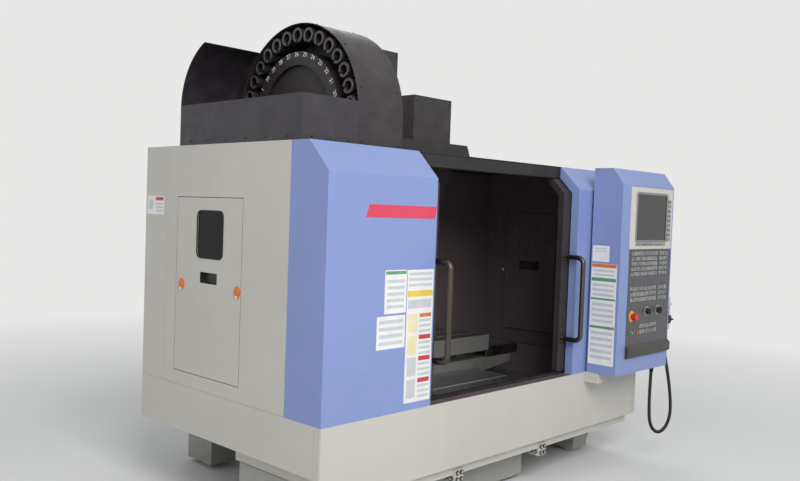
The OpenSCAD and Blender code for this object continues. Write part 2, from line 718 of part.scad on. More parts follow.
// Fixed covers of the Y and Z ways, and the drives that stand on the base and the column
cover_t = 2.5;
cover_step = 3;
y_cover_l = 250;
y_cover_z = 530;
y_cover_half = 335;
z_cover_l = 280;
z_cover_y = 1078;
z_cover_half = 225;
z_fixed_z = 745;
module fixed_way_covers() {
  color(steel) place() {
    span([spindle_x - y_cover_half, skirt_t, y_cover_z],
      [spindle_x + y_cover_half, skirt_t + y_cover_l, y_cover_z + cover_t]);
    for (side = [-1, 1]) {
      x0 = spindle_x + side * (y_cover_half - cover_t / 2) - cover_t / 2;
      translate([x0, skirt_t, bed_z]) cube([cover_t, y_cover_l, y_cover_z - bed_z]);
      translate([x0, bed_y0, bed_step_z]) cube([cover_t, bed_step_y - bed_y0, bed_z - bed_step_z]);
      translate([spindle_x + side * (z_cover_half - cover_t / 2) - cover_t / 2,
        z_cover_y + 2 * cover_t, z_fixed_z])
        cube([cover_t, column_y - z_cover_y - 2 * cover_t, z_cover_l]);
    }
    span([spindle_x - z_cover_half, z_cover_y + 2 * cover_t, z_fixed_z],
      [spindle_x + z_cover_half, z_cover_y + 2 * cover_t + 2, z_fixed_z + z_cover_l]);
  }
}

screw_dia = 32;
y_screw_z = 468;
z_screw_y = 1120;
motor_w = 110;
z_motor_w = 130;
module fixed_axis_drives() {
  color(steel) place() {
    span([spindle_x - 45, bed_step_y - 22, bed_step_z], [spindle_x + 45, bed_step_y, 505]);
    span([spindle_x - 45, column_y - 40, bed_z], [spindle_x + 45, column_y - 10, 490]);
    rod_y([spindle_x, bed_step_y - 22, y_screw_z], screw_dia, column_y - bed_step_y + 10);
    span([spindle_x - motor_w / 2, bed_y0, y_screw_z - motor_w / 2],
      [spindle_x + motor_w / 2, bed_step_y - 22, y_screw_z + motor_w / 2]);
    span([spindle_x - 40, bed_y0 + 10, bed_step_z], [spindle_x + 40, bed_step_y - 30, 420]);
    for (z = [z_rail_z0 - 20, 1930]) translate([spindle_x - 45, column_y - 55, z]) cube([90, 55, 42]);
    rod_z([spindle_x, z_screw_y, z_rail_z0 - 20], screw_dia, 1140);
    span([spindle_x - 80, 1040, column_top], [spindle_x + 80, 1300, column_top + 20]);
    rod_z([spindle_x, z_screw_y, column_top + 20], 70, 30);
    span([spindle_x - z_motor_w / 2, z_screw_y - z_motor_w / 2, column_top + 50],
      [spindle_x + z_motor_w / 2, z_screw_y + z_motor_w / 2, column_top + 250]);
    rod_z([spindle_x, z_screw_y, column_top + 249], 90, 40);
  }
}

// Sliding front doors
leaf_z0 = sill_z + guide_z + 4;
leaf_w = doorway_w / 2 + leaf_lap;
left_leaf_x = doorway_x0 + leaf_show - leaf_w;
right_leaf_x = doorway_x1 - leaf_show;
window_z = 900;
pane_lap = 15;
pane_y = leaf_setback + leaf_t - pane_t - 4;
block_l = 60;
handle_in = 36;
handle_z = 745;
handle_bend = 32;
module leaf_window(x, grow, y0, y1) {
  w0 = x + (leaf_w - window_w) / 2;
  along_y(y0, y1) round_rect([w0 - grow, window_z - grow],
    [w0 + window_w + grow, window_z + window_h + grow], 30);
}
module hanger(x) {
  translate([x, 140, leaf_top_z - 6]) cube([block_l, 6, 55]);
  difference() {
    translate([x, 146, rail_z - 8]) cube([block_l, 40, rail_w + 16]);
    translate([x - cut, rail_y - rest_gap, rail_z - rest_gap])
      cube([block_l + 2 * cut, 40, rail_w + 2 * rest_gap]);
  }
}
module leaf(x) {
  difference() {
    along_x(x, x + leaf_w)
      polygon(face_wall(leaf_setback, leaf_setback + leaf_t, leaf_z0, leaf_top_z));
    leaf_window(x, 0, 0, 200);
    leaf_window(x, pane_lap, pane_y, 200);
  }
  for (dx = [40, leaf_w - 40 - block_l]) {
    hanger(x + dx);
    translate([x + dx, tongue_y - tongue_t / 2, leaf_z0 - 14]) cube([block_l, tongue_t, 14 + cut]);
  }
}
module handle_elbow(x, y, z, turn) {
  translate([x, y, z]) rotate([0, 90, 0]) rotate([0, 0, turn]) rotate_extrude(angle = 90)
    translate([handle_bend, 0]) circle(d = handle_d);
}
module door_handle(x) {
  far_y = leaf_setback - handle_reach + handle_d / 2;
  leg_y = far_y + handle_bend;
  for (z = [handle_z, handle_z + handle_h]) {
    rod_y([x, leg_y, z], handle_d, leaf_setback - leg_y);
    rod_y([x, leaf_setback - 5, z], handle_d + 16, 5);
  }
  handle_elbow(x, leg_y, handle_z + handle_bend, 270);
  handle_elbow(x, leg_y, handle_z + handle_h - handle_bend, 180);
  rod_z([x, far_y, handle_z + handle_bend], handle_d, handle_h - 2 * handle_bend);
}
module left_door() { color(sheet_black) place() leaf(left_leaf_x); }
module right_door() { color(sheet_black) place() leaf(right_leaf_x); }
module left_door_glass() {
  color(glass_tint) place() leaf_window(left_leaf_x, pane_lap - 1, pane_y, pane_y + pane_t);
}
module right_door_glass() {
  color(glass_tint) place() leaf_window(right_leaf_x, pane_lap - 1, pane_y, pane_y + pane_t);
}
module left_door_handle() {
  color(cover_grey) place() door_handle(left_leaf_x + leaf_w - handle_in);
}
module right_door_handle() { color(cover_grey) place() door_handle(right_leaf_x + handle_in); }

// Service doors in the side panels: a skin with a stiffening frame, a recessed grip, a window and
// two quarter-turn latches
latch_y = [service_y + 24, service_y1 - 49];
latch_z = 1028;
latch_d = 22;
latch_face_d = 30;
window_y0 = 698;
window_y1 = 895;
window_z0 = 1165;
window_z1 = 1369;
grip_y0 = 733;
grip_y1 = 868;
grip_z0 = 1045;
grip_z1 = 1095;
grip_d = 25;
skin_t = sheet - rest_gap;
frame_y0 = service_y + 45;
frame_y1 = latch_y[1] - 28;
module service_door() {
  difference() {
    union() {
      along_x(0, skin_t) service_hole(0);
      along_x(skin_t, 20) difference() {
        translate([frame_y0, service_z + 20]) square([frame_y1 - frame_y0, service_h - 40]);
        translate([frame_y0 + wall_t, service_z + 20 + wall_t])
          square([frame_y1 - frame_y0 - 2 * wall_t, service_h - 40 - 2 * wall_t]);
      }
      span([0, grip_y0 - 2, grip_z0 - 2], [grip_d, grip_y1 + 2, grip_z1 + 2]);
    }
    along_x(-cut, 30) round_rect([window_y0, window_z0], [window_y1, window_z1], 22);
    span([-cut, grip_y0, grip_z0], [grip_d - 2, grip_y1, grip_z1]);
    for (y = latch_y) rod_x([-cut, y, latch_z], latch_d + 2 * run_gap, 10);
  }
}
module service_window() {
  along_x(skin_t, skin_t + 5)
    round_rect([window_y0 - 15, window_z0 - 15], [window_y1 + 15, window_z1 + 15], 30);
}
module latch(y) {
  difference() {
    union() {
      rod_x([-latch_head, y, latch_z], latch_face_d, latch_head - rest_gap);
      rod_x([-latch_head + 1, y, latch_z], latch_d, latch_head + 9.5);
      translate([2 * sheet + 0.5, y - 8, latch_z - tongue_l]) cube([4, 16, tongue_l + 11]);
    }
    translate([-latch_head - cut, y - 2, latch_z - 8]) cube([4, 4, 16]);
  }
}
module left_service_door() { color(shell_grey) place() service_door(); }
module left_service_window() { color(glass_tint) place() service_window(); }
module left_front_latch() { color(chrome) place() latch(latch_y[0]); }
module left_rear_latch() { color(chrome) place() latch(latch_y[1]); }
module right_service_door() {
  color(shell_grey) place() mirror_side() {
    service_door();
    for (y = latch_y) {
      latch(y);
      rod_x([-rest_gap - cut, y, latch_z], latch_d + 1, skin_t + rest_gap + cut);
    }
  }
}
module right_service_window() { color(glass_tint) place() mirror_side() service_window(); }

// Saddle with the rails, screw and motor of the table
saddle_half = 700;
saddle_y0 = 505;
saddle_y1 = 920;
saddle_z0 = 495;
saddle_z1 = 585;
saddle_end_z = 540;
x_rail_y = [580, 845];
x_rail_w = 34;
x_rail_h = 28;
x_screw_y = 712;
x_screw_z = 560;
y_block_y = [520, 800];
module saddle() {
  half = y_cover_half + 10;
  color(cast_grey) place() {
    difference() {
      union() {
        difference() {
          along_y(saddle_y0, saddle_y1) polygon([[spindle_x - saddle_half, saddle_z1],
            [spindle_x - saddle_half, saddle_end_z], [spindle_x - half, saddle_z0],
            [spindle_x + half, saddle_z0], [spindle_x + saddle_half, saddle_end_z],
            [spindle_x + saddle_half, saddle_z1]]);
          span([0, x_screw_y - 32, x_screw_z - 32], [body_w, x_screw_y + 32, saddle_z1 + cut]);
        }
        for (side = [-1, 1], y = y_block_y)
          translate([spindle_x + side * y_rail_x - 50, y, bed_z + 7])
            cube([100, 100, saddle_z0 - bed_z - 7]);
        span([spindle_x - 35, 640, bed_z + 4], [spindle_x + 35, 740, saddle_z0]);
      }
      for (side = [-1, 1]) translate([spindle_x + side * y_rail_x - y_rail_w / 2 - rest_gap,
        saddle_y0, bed_z]) cube([y_rail_w + 2 * rest_gap, 420, y_rail_h + rest_gap]);
      rod_y([spindle_x, 600, y_screw_z], screw_dia + 2 * run_gap, 200);
    }
    for (y = x_rail_y) translate([spindle_x - 690, y - x_rail_w / 2, saddle_z1])
      cube([1380, x_rail_w, x_rail_h]);
    for (x = [spindle_x - saddle_half, spindle_x + saddle_half - 40])
      translate([x, x_screw_y - 32, x_screw_z - 32]) cube([40, 64, 62]);
    rod_x([spindle_x - saddle_half, x_screw_y, x_screw_z], screw_dia, 2 * saddle_half);
    translate([spindle_x + saddle_half, x_screw_y - motor_w / 2, x_screw_z - motor_w / 2])
      cube([150, motor_w, motor_w]);
  }
}
module way_cover(y0, y1, z, half, drop) {
  span([spindle_x - half, y0, z], [spindle_x + half, y1, z + cover_t]);
  for (x = [spindle_x - half, spindle_x + half - cover_t])
    translate([x, y0, z - drop]) cube([cover_t, y1 - y0, drop]);
}
module saddle_way_covers() {
  color(steel) place() {
    way_cover(saddle_y0 - y_cover_l, saddle_y0, y_cover_z + 2 * cover_step,
      y_cover_half + 2 * cover_step, 36);
    way_cover(saddle_y1, saddle_y1 + 455, x_screw_z, 327, 30);
  }
}
module y_way_plate() {
  y0 = (skirt_t + saddle_y0 - y_cover_l) / 2;
  color(steel) place()
    way_cover(y0, y0 + y_cover_l, y_cover_z + cover_step, y_cover_half + cover_step, 33);
}

// Table with its slots, and the plates that cover the ways at both of its ends
table_end_cover = 300;
module table() {
  x0 = spindle_x - table_l / 2;
  x1 = spindle_x + table_l / 2;
  bottom = table_z - table_t;
  color(cast_grey) place() difference() {
    union() {
      span([x0, spindle_y - table_w / 2, bottom], [x1, spindle_y + table_w / 2, table_z]);
      for (y = x_rail_y, side = [-1, 1])
        translate([spindle_x + side * 280 - 35, y - 35, saddle_z1 + 8])
          cube([70, 70, bottom - saddle_z1 - 8]);
      span([spindle_x - 50, x_screw_y - 28, x_screw_z - 24], [spindle_x + 50, x_screw_y + 28, bottom]);
    }
    for (i = [-1:1]) {
      span([x0 - cut, spindle_y + i * slot_pitch - slot_w / 2, table_z - 34],
        [x1 + cut, spindle_y + i * slot_pitch + slot_w / 2, table_z + cut]);
      span([x0 - cut, spindle_y + i * slot_pitch - slot_w / 2 - 7, table_z - 34],
        [x1 + cut, spindle_y + i * slot_pitch + slot_w / 2 + 7, table_z - 20]);
    }
    for (y = x_rail_y) span([x0, y - x_rail_w / 2 - rest_gap, saddle_z1],
      [x1, y + x_rail_w / 2 + rest_gap, saddle_z1 + x_rail_h + rest_gap]);
    rod_x([x0, x_screw_y, x_screw_z], screw_dia + 2 * run_gap, table_l);
  }
}
module table_way_covers() {
  top = saddle_z1 + 58;
  color(steel) place() for (x0 = [spindle_x - table_l / 2 - table_end_cover, spindle_x + table_l / 2])
    translate([x0, saddle_y0 - 5, saddle_z1 + 3]) difference() {
      cube([table_end_cover, saddle_y1 - saddle_y0 + 10, top - saddle_z1 - 3]);
      translate([-cut, sheet, -cut]) cube([table_end_cover + 2 * cut,
        saddle_y1 - saddle_y0 + 10 - 2 * sheet, top - saddle_z1 - 3 - sheet + cut]);
    }
}

// Head: carriage on the column's rails, body with the spindle's bore and the spindle motor
carriage_y0 = 1050;
carriage_y1 = 1090;
carriage_z0 = 1540;
carriage_z1 = 1900;
body_half = head_cover_half - wall_t;
bore_d = 150.6;
nose_z = 1404;
head_low_z = nose_z + 86;
head_top_z = head_low_z + 260;
head_front_y = spindle_y - 120;
head_motor_h = 240;
module head() {
  color(cast_grey) place() difference() {
    union() {
      span([spindle_x - 240, carriage_y0, carriage_z0], [spindle_x + 240, carriage_y1, carriage_z1]);
      for (side = [-1, 1], z = [carriage_z0 + 10, carriage_z1 - 150])
        translate([spindle_x + side * z_rail_x - 50, carriage_y1, z]) cube([100, 55, 140]);
      span([spindle_x - 40, carriage_y1 - 2, carriage_z0 + 150],
        [spindle_x + 40, column_y - 4, carriage_z0 + 210]);
      along_x(spindle_x - body_half, spindle_x + body_half) polygon([
        [carriage_y0, carriage_z0 + 5], [spindle_y + 200, head_low_z],
        [head_front_y + 20, head_low_z], [head_front_y, head_low_z + 30],
        [head_front_y, head_top_z - 30], [head_front_y + 30, head_top_z],
        [spindle_y + 160, head_top_z], [carriage_y0, carriage_z1 - 10]]);
      rod_z([spindle_x, spindle_y, head_low_z - 20], 240, 30);
      span([spindle_x - 110, spindle_y - 110, head_top_z],
        [spindle_x + 110, spindle_y + 110, head_top_z + head_motor_h]);
    }
    for (side = [-1, 1]) span([spindle_x + side * z_rail_x - z_rail_w / 2 - rest_gap,
      column_y - z_rail_h - rest_gap, carriage_z0 - 40],
      [spindle_x + side * z_rail_x + z_rail_w / 2 + rest_gap, column_y + cut, carriage_z1 + 50]);
    rod_z([spindle_x, z_screw_y, carriage_z0 + 60], screw_dia + 2 * run_gap, 200);
    rod_z([spindle_x, spindle_y, head_low_z - 21], bore_d, head_top_z - head_low_z + 1);
  }
}
head_cover_y1 = carriage_y0 - 60;
head_cover_z1 = head_top_z + head_motor_h + 20;
module head_cover() {
  color(cover_grey) place() {
    difference() {
      span([spindle_x - head_cover_half, head_cover_y0, carriage_z0 + 20],
        [spindle_x + head_cover_half, head_cover_y1, head_cover_z1]);
      span([spindle_x - body_half, head_cover_y0 + wall_t, carriage_z0 + 20 - cut],
        [spindle_x + body_half, head_cover_y1 + cut, head_cover_z1 - wall_t]);
    }
    span([spindle_x - z_cover_half, z_cover_y, carriage_z0 - z_cover_l],
      [spindle_x + z_cover_half, z_cover_y + 2, carriage_z0]);
  }
}
module z_way_plate() {
  z0 = (z_fixed_z + carriage_z0 - z_cover_l) / 2;
  color(steel) place() span([spindle_x - z_cover_half, z_cover_y + cover_t, z0],
    [spindle_x + z_cover_half, z_cover_y + cover_t + 2, z0 + z_cover_l]);
}
module spindle_cartridge() {
  color(steel) place() difference() {
    union() {
      rod_z([spindle_x, spindle_y, nose_z + 20], 150, 296);
      rod_z([spindle_x, spindle_y, 1450], 200, 20);
    }
    rod_z([spindle_x, spindle_y, nose_z], 70 + 2 * run_gap, 400);
  }
}
taper_d = 44.45;
taper_l = 62;
module spindle() {
  color(chrome) place() difference() {
    union() {
      rod_z([spindle_x, spindle_y, nose_z], 88.9, 20 - rest_gap);
      rod_z([spindle_x, spindle_y, nose_z + 10], 70, 310);
      for (a = [0, 180]) translate([spindle_x, spindle_y, nose_z]) rotate([0, 0, a])
        translate([28, -8, -8]) cube([16, 16, 9]);
    }
    translate([spindle_x, spindle_y, nose_z]) {
      cylinder(d1 = taper_d, d2 = taper_d - taper_l * 7 / 24, h = taper_l);
      cylinder(d = 26, h = 300);
    }
    translate([spindle_x, spindle_y, nose_z - cut]) cylinder(d = taper_d, h = cut);
  }
}

// Magazine disc with its rims, prongs and shaft; the pots sit on a circle between the prongs
disc_r = 296;
disc_in = 240;
back_x = 414;
back_t = 16;
back_r = 420;
pin_d = 8;
pot_bore = 45;
pitch_a = 360 / pot_count;
module about_drum(a) { translate([0, drum_y, drum_z]) rotate([a, 0, 0]) children(); }
module ring_x(x0, x1, r0, r1) {
  translate([x0, 0, 0]) rotate([0, 90, 0]) linear_extrude(x1 - x0) difference() {
    circle(r1);
    circle(r0);
  }
}
module magazine_disc() {
  color(sheet_black) place() difference() {
    union() {
      about_drum(0) {
        ring_x(drum_x, drum_x + 8, disc_in - 4, disc_r);
        ring_x(drum_x, back_x, disc_r - 8, disc_r);
        ring_x(drum_x, drum_x + 26, disc_in - 4, disc_in);
        rod_x([drum_x + 18, 0, 0], 2 * disc_in, 8);
        rod_x([drum_x + 18, 0, 0], 130, back_x - drum_x - 18);
        rod_x([back_x, 0, 0], 2 * back_r, back_t);
        rod_x([back_x, 0, 0], drum_shaft_d, drum_plate[1] - back_x);
      }
      for (i = [0:pot_count - 1]) about_drum((i + 0.5) * pitch_a)
        translate([drum_x + 21, -2.5, -pot_ring_r - 30]) cube([back_x - drum_x - 20, 5, 44]);
    }
    rod_y([drum_x + pot_hinge, drum_y - 60, drum_z - pot_ring_r], pin_d + 2 * run_gap, 120);
  }
}
module pot(pin_half) {
  translate([0, 0, -pot_ring_r]) {
    difference() {
      rod_x([drum_x, 0, 0], pot_d, pot_l - rest_gap);
      rod_x([drum_x - cut, 0, 0], pot_bore, 71);
      translate([drum_x - cut, -8, 0]) cube([9, 16, pot_d]);
    }
    for (side = [-1, 1])
      rod_y([drum_x + pot_hinge, side > 0 ? pot_bore / 2 + 4 : -pin_half, 0], pin_d,
        pin_half - pot_bore / 2 - 4);
  }
}
module tool_pots() {
  color(rubber_black) place()
    for (i = [1:pot_count - 1]) about_drum(i * pitch_a) pot(pot_ring_r * tan(pitch_a / 2) - 3);
}
module active_pot() {
  color(rubber_black) place() about_drum(0) pot(pot_ring_r * tan(pitch_a / 2) + 2);
}

// Change arm between the collars of the shaft that lowers it
arm_z0 = 1345;
arm_t = 30;
arm_nut_h = 8;
arm_shaft_z1 = 1640;
arm_half = sqrt(pow(spindle_x - drum_x - pot_hinge, 2) + pow(spindle_y - drum_y, 2)) / 2;
arm_angle = atan2(spindle_y - drum_y, spindle_x - drum_x - pot_hinge) + 90;
grip_r = 27;
module arm_shaft() {
  top = arm_z0 + arm_t + rest_gap;
  low = arm_z0 - rest_gap - arm_nut_h;
  color(steel) place() {
    rod_z([arm_x, arm_y, low], arm_shaft_d, arm_shaft_z1 - low);
    rod_z([arm_x, arm_y, low], arm_collar_d - 4, arm_nut_h);
    rod_z([arm_x, arm_y, top], arm_collar_d, gear_box[4] - 5 - top);
  }
}
module arm_outline() {
  open_w = 2 * grip_r - 12;
  difference() {
    union() {
      circle(60);
      polygon([[-arm_half + 20, -26], [0, -48], [arm_half - 20, -26], [arm_half - 20, 26],
        [0, 48], [-arm_half + 20, 26]]);
      for (x = [-arm_half, arm_half]) translate([x, 0]) circle(35);
    }
    for (a = [0, 180]) rotate(a) translate([arm_half, 0]) {
      circle(grip_r);
      translate([-open_w / 2, -60]) square([open_w, 50]);
    }
  }
}
module change_arm() {
  color(steel) place() translate([arm_x, arm_y, arm_z0]) rotate([0, 0, arm_angle])
    linear_extrude(arm_t) difference() {
      arm_outline();
      circle(d = arm_shaft_d + 2 * run_gap);
    }
}

// Pendant: a case that turns on the post, its panel with screen, keys, knobs and buttons
panel_x0 = pendant_x + panel_border;
panel_x1 = pendant_x + pendant_w - 8;
panel_z0 = pendant_z + panel_foot;
panel_z1 = 1580;
case_y0 = -pendant_out;
case_y1 = -pendant_back;
case_bevel_z = 1590;
case_t = 3;
bush_d = 60;
post_bore = post_d + 2 * run_gap;
screen = [panel_x0 + 75, panel_x1 - 75, 1290, 1540];
function case_line(d) = [[case_y0 + d, pendant_z + d], [case_y0 + d, case_bevel_z - d / 3],
  [case_y0 + 64 + d / 3, roof_z - d], [case_y1 - d, roof_z - d], [case_y1 - d, pendant_z + d]];
module pendant_case() {
  color(cover_blue) place() difference() {
    union() {
      difference() {
        along_x(pendant_x, pendant_x + pendant_w) polygon(case_line(0));
        along_x(pendant_x + case_t, pendant_x + pendant_w - case_t) polygon(case_line(case_t));
      }
      for (z = [pendant_z, post_z1 - 46])
        span([pendant_x + 1, pivot_y - 30, z], [pivot_x + 30, case_y1 - 1, z + 46]);
      span([pendant_x + pendant_w, -150, 800], [pendant_x + pendant_w + 4, -130, 920]);
    }
    span([panel_x0, case_y0 - cut, panel_z0], [panel_x1, case_y0 + case_t + cut, panel_z1]);
    rod_z([pivot_x, pivot_y, pendant_z - cut], post_bore, post_z1 + 4 - pendant_z);
  }
}
key_d = 4;
module pendant_panel() {
  color([0.75, 0.73, 0.70]) place() difference() {
    union() {
      span([panel_x0, case_y0 + 1, panel_z0], [panel_x1, case_y0 + 4, panel_z1]);
      span([panel_x0 + 10, case_y0 + 4, panel_z0 + 10], [panel_x1 - 10, case_y0 + 10, panel_z1 - 10]);
      along_x(panel_x0, panel_x1) polygon([[case_y0 + 1, panel_z0], [case_y0 - 20, panel_z0 + 12],
        [case_y0 - 20, panel_z0 + 56], [case_y0 + 1, panel_z0 + 78]]);
    }
    span([screen[0] - 8, case_y0 - cut, screen[2] - 8], [screen[1] + 8, case_y0 + 5, screen[3] + 8]);
    for (b = buttons) rod_y([b[0], case_y0 - cut, b[1]], b[2] + 2 * run_gap, 20);
  }
}
module display_glass() {
  color(glass_tint) place()
    span([screen[0] - 7, case_y0 + 2, screen[2] - 7], [screen[1] + 7, case_y0 + 5, screen[3] + 7]);
}
module key_block(x0, z0, columns, rows, pitch_x, pitch_z, w, h) {
  for (i = [0:columns - 1], j = [0:rows - 1])
    translate([x0 + i * pitch_x, case_y0 + 1 - key_d, z0 - j * pitch_z]) cube([w, key_d, h]);
}
module panel_keys() {
  color([0.35, 0.36, 0.38]) place() {
    key_block(screen[0] - 4, 1258, 12, 1, 29, 20, 22, 14);
    key_block(screen[1] + 16, 1500, 1, 9, 20, 27, 34, 18);
    key_block(panel_x0 + 30, 1205, 10, 5, 30, 28, 24, 20);
    key_block(panel_x0 + 350, 1205, 3, 5, 34, 28, 28, 20);
    key_block(panel_x0 + 30, 1010, 10, 3, 30, 30, 24, 22);
    key_block(panel_x0 + 350, 1010, 3, 3, 34, 30, 28, 22);
    key_block(panel_x0 + 150, 800, 6, 2, 34, 32, 26, 22);
  }
}
stop_d = 22;
press_d = 22;
knob_shaft = 10;
stop_at = [panel_x0 + 60, 870];
start_at = [panel_x0 + 60, 780];
hold_at = [panel_x0 + 110, 780];
feed_at = [panel_x0 + 230, 890];
speed_at = [panel_x0 + 360, 890];
buttons = [[stop_at[0], stop_at[1], stop_d], [start_at[0], start_at[1], press_d],
  [hold_at[0], hold_at[1], press_d], [feed_at[0], feed_at[1], knob_shaft],
  [speed_at[0], speed_at[1], knob_shaft]];
button_face = case_y0 + 1;
module emergency_stop() {
  color([0.80, 0.06, 0.05]) place() {
    rod_y([stop_at[0], button_face - 14, stop_at[1]], stop_d, 22);
    rod_y([stop_at[0], case_y0 - knob_out, stop_at[1]], 40, 22);
  }
}
module press_button(at) {
  rod_y([at[0], button_face - 12, at[1]], press_d, 20);
}
module cycle_start_button() { color([0.15, 0.62, 0.25]) place() press_button(start_at); }
module feed_hold_button() { color([0.80, 0.12, 0.08]) place() press_button(hold_at); }
module turn_knob(at) {
  rod_y([at[0], button_face - 10, at[1]], knob_shaft, 18);
  rod_y([at[0], button_face - 22, at[1]], 34, 22 - rest_gap);
  translate([at[0] - 3, button_face - 26, at[1] - 15]) cube([6, 6, 30]);
}
module feed_knob() { color(rubber_black) place() turn_knob(feed_at); }
module spindle_knob() { color(rubber_black) place() turn_knob(speed_at); }

// Handset on the pendant's right side with its handwheel, and its cord
hand_x0 = pendant_x + pendant_w + 4;
hand_x1 = pendant_x + pendant_w + holder_w;
hand_y0 = -170;
hand_y1 = -110;
hand_z0 = 760;
hand_z1 = 950;
wheel_shaft = 8;
wheel_z = hand_z0 + 62;
wheel_x = (hand_x0 + hand_x1) / 2;
module handset() {
  color([0.80, 0.79, 0.75]) place() difference() {
    union() {
      span([hand_x0, hand_y0, hand_z0], [hand_x1, hand_y1, hand_z1]);
      for (dx = [-14, 14]) rod_y([wheel_x + dx, hand_y0 - 12, hand_z1 - 40], 18, 13);
    }
    rod_y([wheel_x, hand_y0 - cut, wheel_z], wheel_shaft + 2 * run_gap, 25);
  }
}
module handwheel() {
  color(rubber_black) place() {
    rod_y([wheel_x, hand_y0 - 12, wheel_z], wheel_shaft, 32);
    rod_y([wheel_x, hand_y0 - 14, wheel_z], 50, 14 - rest_gap);
    rod_y([wheel_x + 16, hand_y0 - 28, wheel_z], 10, 16);
  }
}

cord_points = [[2394, -150, 556], [2389, -151, 500], [2377, -155, 420], [2368, -160, 340],
  [2368, -163, 275], [2377, -165, 231], [2402, -168, 193], [2440, -171, 168], [2484, -173, 159],
  [2528, -176, 168], [2566, -178, 193], [2591, -179, 231], [2600, -179, 275], [2597, -176, 350],
  [2580, -170, 450], [2556, -160, 560], [2536, -148, 670], [2528, -140, hand_z0]];
cord_sides = 10;
cord_steps = 5;
function add3(a, b, s) = [a[0] + b[0] * s, a[1] + b[1] * s, a[2] + b[2] * s];
function unit(v) = v / norm(v);
function spline(p, i, t) = let (a = p[max(i - 1, 0)], b = p[i], c = p[i + 1],
  d = p[min(i + 2, len(p) - 1)])
  0.5 * (2 * b + (c - a) * t + (2 * a - 5 * b + 4 * c - d) * t * t
    + (3 * b - 3 * c + d - a) * t * t * t);
cord_path = concat([for (i = [0:len(cord_points) - 2], k = [0:cord_steps - 1])
  spline(cord_points, i, k / cord_steps)], [cord_points[len(cord_points) - 1]]);
function path_way(p, i) = i == 0 || i == len(p) - 1 ? [0, 0, 1]
  : unit(p[i + 1] - p[i - 1]);
module handset_cord() {
  n = len(cord_path);
  rings = [for (i = [0:n - 1]) let (w = i == 0 ? [0, 0, -1] : path_way(cord_path, i),
    u = unit(cross([0, 1, 0], w)), v = cross(w, u)) [for (k = [0:cord_sides - 1])
    cord_path[i] + (u * cos(360 * k / cord_sides) + v * sin(360 * k / cord_sides)) * cord_d / 2]];
  color(rubber_black) place() polyhedron(points = [for (r = rings, q = r) q],
    faces = concat([[for (k = [0:cord_sides - 1]) k]],
      [for (i = [0:n - 2], k = [0:cord_sides - 1]) [i * cord_sides + k, (i + 1) * cord_sides + k,
        (i + 1) * cord_sides + (k + 1) % cord_sides, i * cord_sides + (k + 1) % cord_sides]],
      [[for (k = [cord_sides - 1:-1:0]) (n - 1) * cord_sides + k]]));
}

base();
levelling_pads();
column();
skirt();
skirt_brackets();
left_side_panel();
right_side_panel();
left_front_cover();
right_front_cover();
roof();
header_beam();
rear_partition();
tool_space_cover();
drum_cover();
magazine_frame();
z_motor_cover();
electrical_cabinet();
fixed_way_covers();
fixed_axis_drives();
cabinet_door();
main_switch();
left_door();
left_door_glass();
left_door_handle();
right_door();
right_door_glass();
right_door_handle();
left_service_door();
left_service_window();
left_front_latch();
left_rear_latch();
right_service_door();
right_service_window();
saddle();
saddle_way_covers();
table();
table_way_covers();
head();
head_cover();
spindle_cartridge();
spindle();
z_way_plate();
y_way_plate();
magazine_disc();
tool_pots();
active_pot();
arm_shaft();
change_arm();
pendant_case();
pendant_panel();
display_glass();
panel_keys();
emergency_stop();
cycle_start_button();
feed_hold_button();
feed_knob();
spindle_knob();
handset();
handwheel();
handset_cord();
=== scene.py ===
"""Dresses the machining centre: camera, handset cord, materials, trims, labels, light and floor.

Lengths below are millimetres from the front left corner of the skirt on the floor, X to the
right, Y to the back and Z up, as in the part's source. at() turns them into the frame's metres.
"""

import math

import bmesh
import bpy
from mathutils import Matrix, Vector
from mathutils.bvhtree import BVHTree


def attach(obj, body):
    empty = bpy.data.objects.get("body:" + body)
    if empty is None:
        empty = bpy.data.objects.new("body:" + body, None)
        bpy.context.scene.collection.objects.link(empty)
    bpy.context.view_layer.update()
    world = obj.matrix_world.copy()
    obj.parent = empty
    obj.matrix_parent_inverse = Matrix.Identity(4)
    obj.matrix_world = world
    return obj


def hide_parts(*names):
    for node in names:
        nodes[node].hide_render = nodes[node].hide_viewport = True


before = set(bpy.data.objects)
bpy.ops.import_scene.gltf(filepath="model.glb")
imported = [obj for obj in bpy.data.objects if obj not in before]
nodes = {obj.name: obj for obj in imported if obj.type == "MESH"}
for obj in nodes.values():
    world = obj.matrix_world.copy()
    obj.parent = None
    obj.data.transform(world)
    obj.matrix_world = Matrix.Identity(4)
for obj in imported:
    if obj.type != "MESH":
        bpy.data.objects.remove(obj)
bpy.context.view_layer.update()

# Places shared with the part's source, in millimetres
ORIGIN_X = 1274.5
ORIGIN_Y = 970.0
BODY_W = 2500.0
BODY_D = 1363.0
ROOF_Z = 1674.0
SILL_Z = 551.0
CHUTE_Z = 345.0
SPINDLE_X = 1206.5
SPINDLE_Y = 700.0
DRUM_X, DRUM_Y, DRUM_Z = 304.0, 597.0, 1815.0
POT_RING_R = 372.0
NUMBER_R = 284.0
TOOL_WALL_Y0, TOOL_WALL_Y1 = 168.0, 1066.0
ARC_Y, ARC_Z, ARC_R = 752.0, 1850.0, 314.0
POT_COUNT = 30
NUMBER_SHIFT = 10
PENDANT_X = 1905.0
CASE_Y0, CASE_Y1 = -190.0, -15.0
PANEL_X0, PANEL_X1 = 1997.0, 2487.0
PANEL_Y = CASE_Y0 + 1
SCREEN = (2072.0, 1290.0, 2412.0, 1540.0)
STOP_X, STOP_Z = 2057.0, 870.0
BUTTON_X, BUTTON_Z = (2057.0, 2107.0), 780.0
KNOB_X, KNOB_Z = (2227.0, 2357.0), 890.0
HANDSET_X, WHEEL_Z = 2528.0, 822.0
LATCH_Y = (575.0, 1021.0)
LATCH_Z = 1028.0
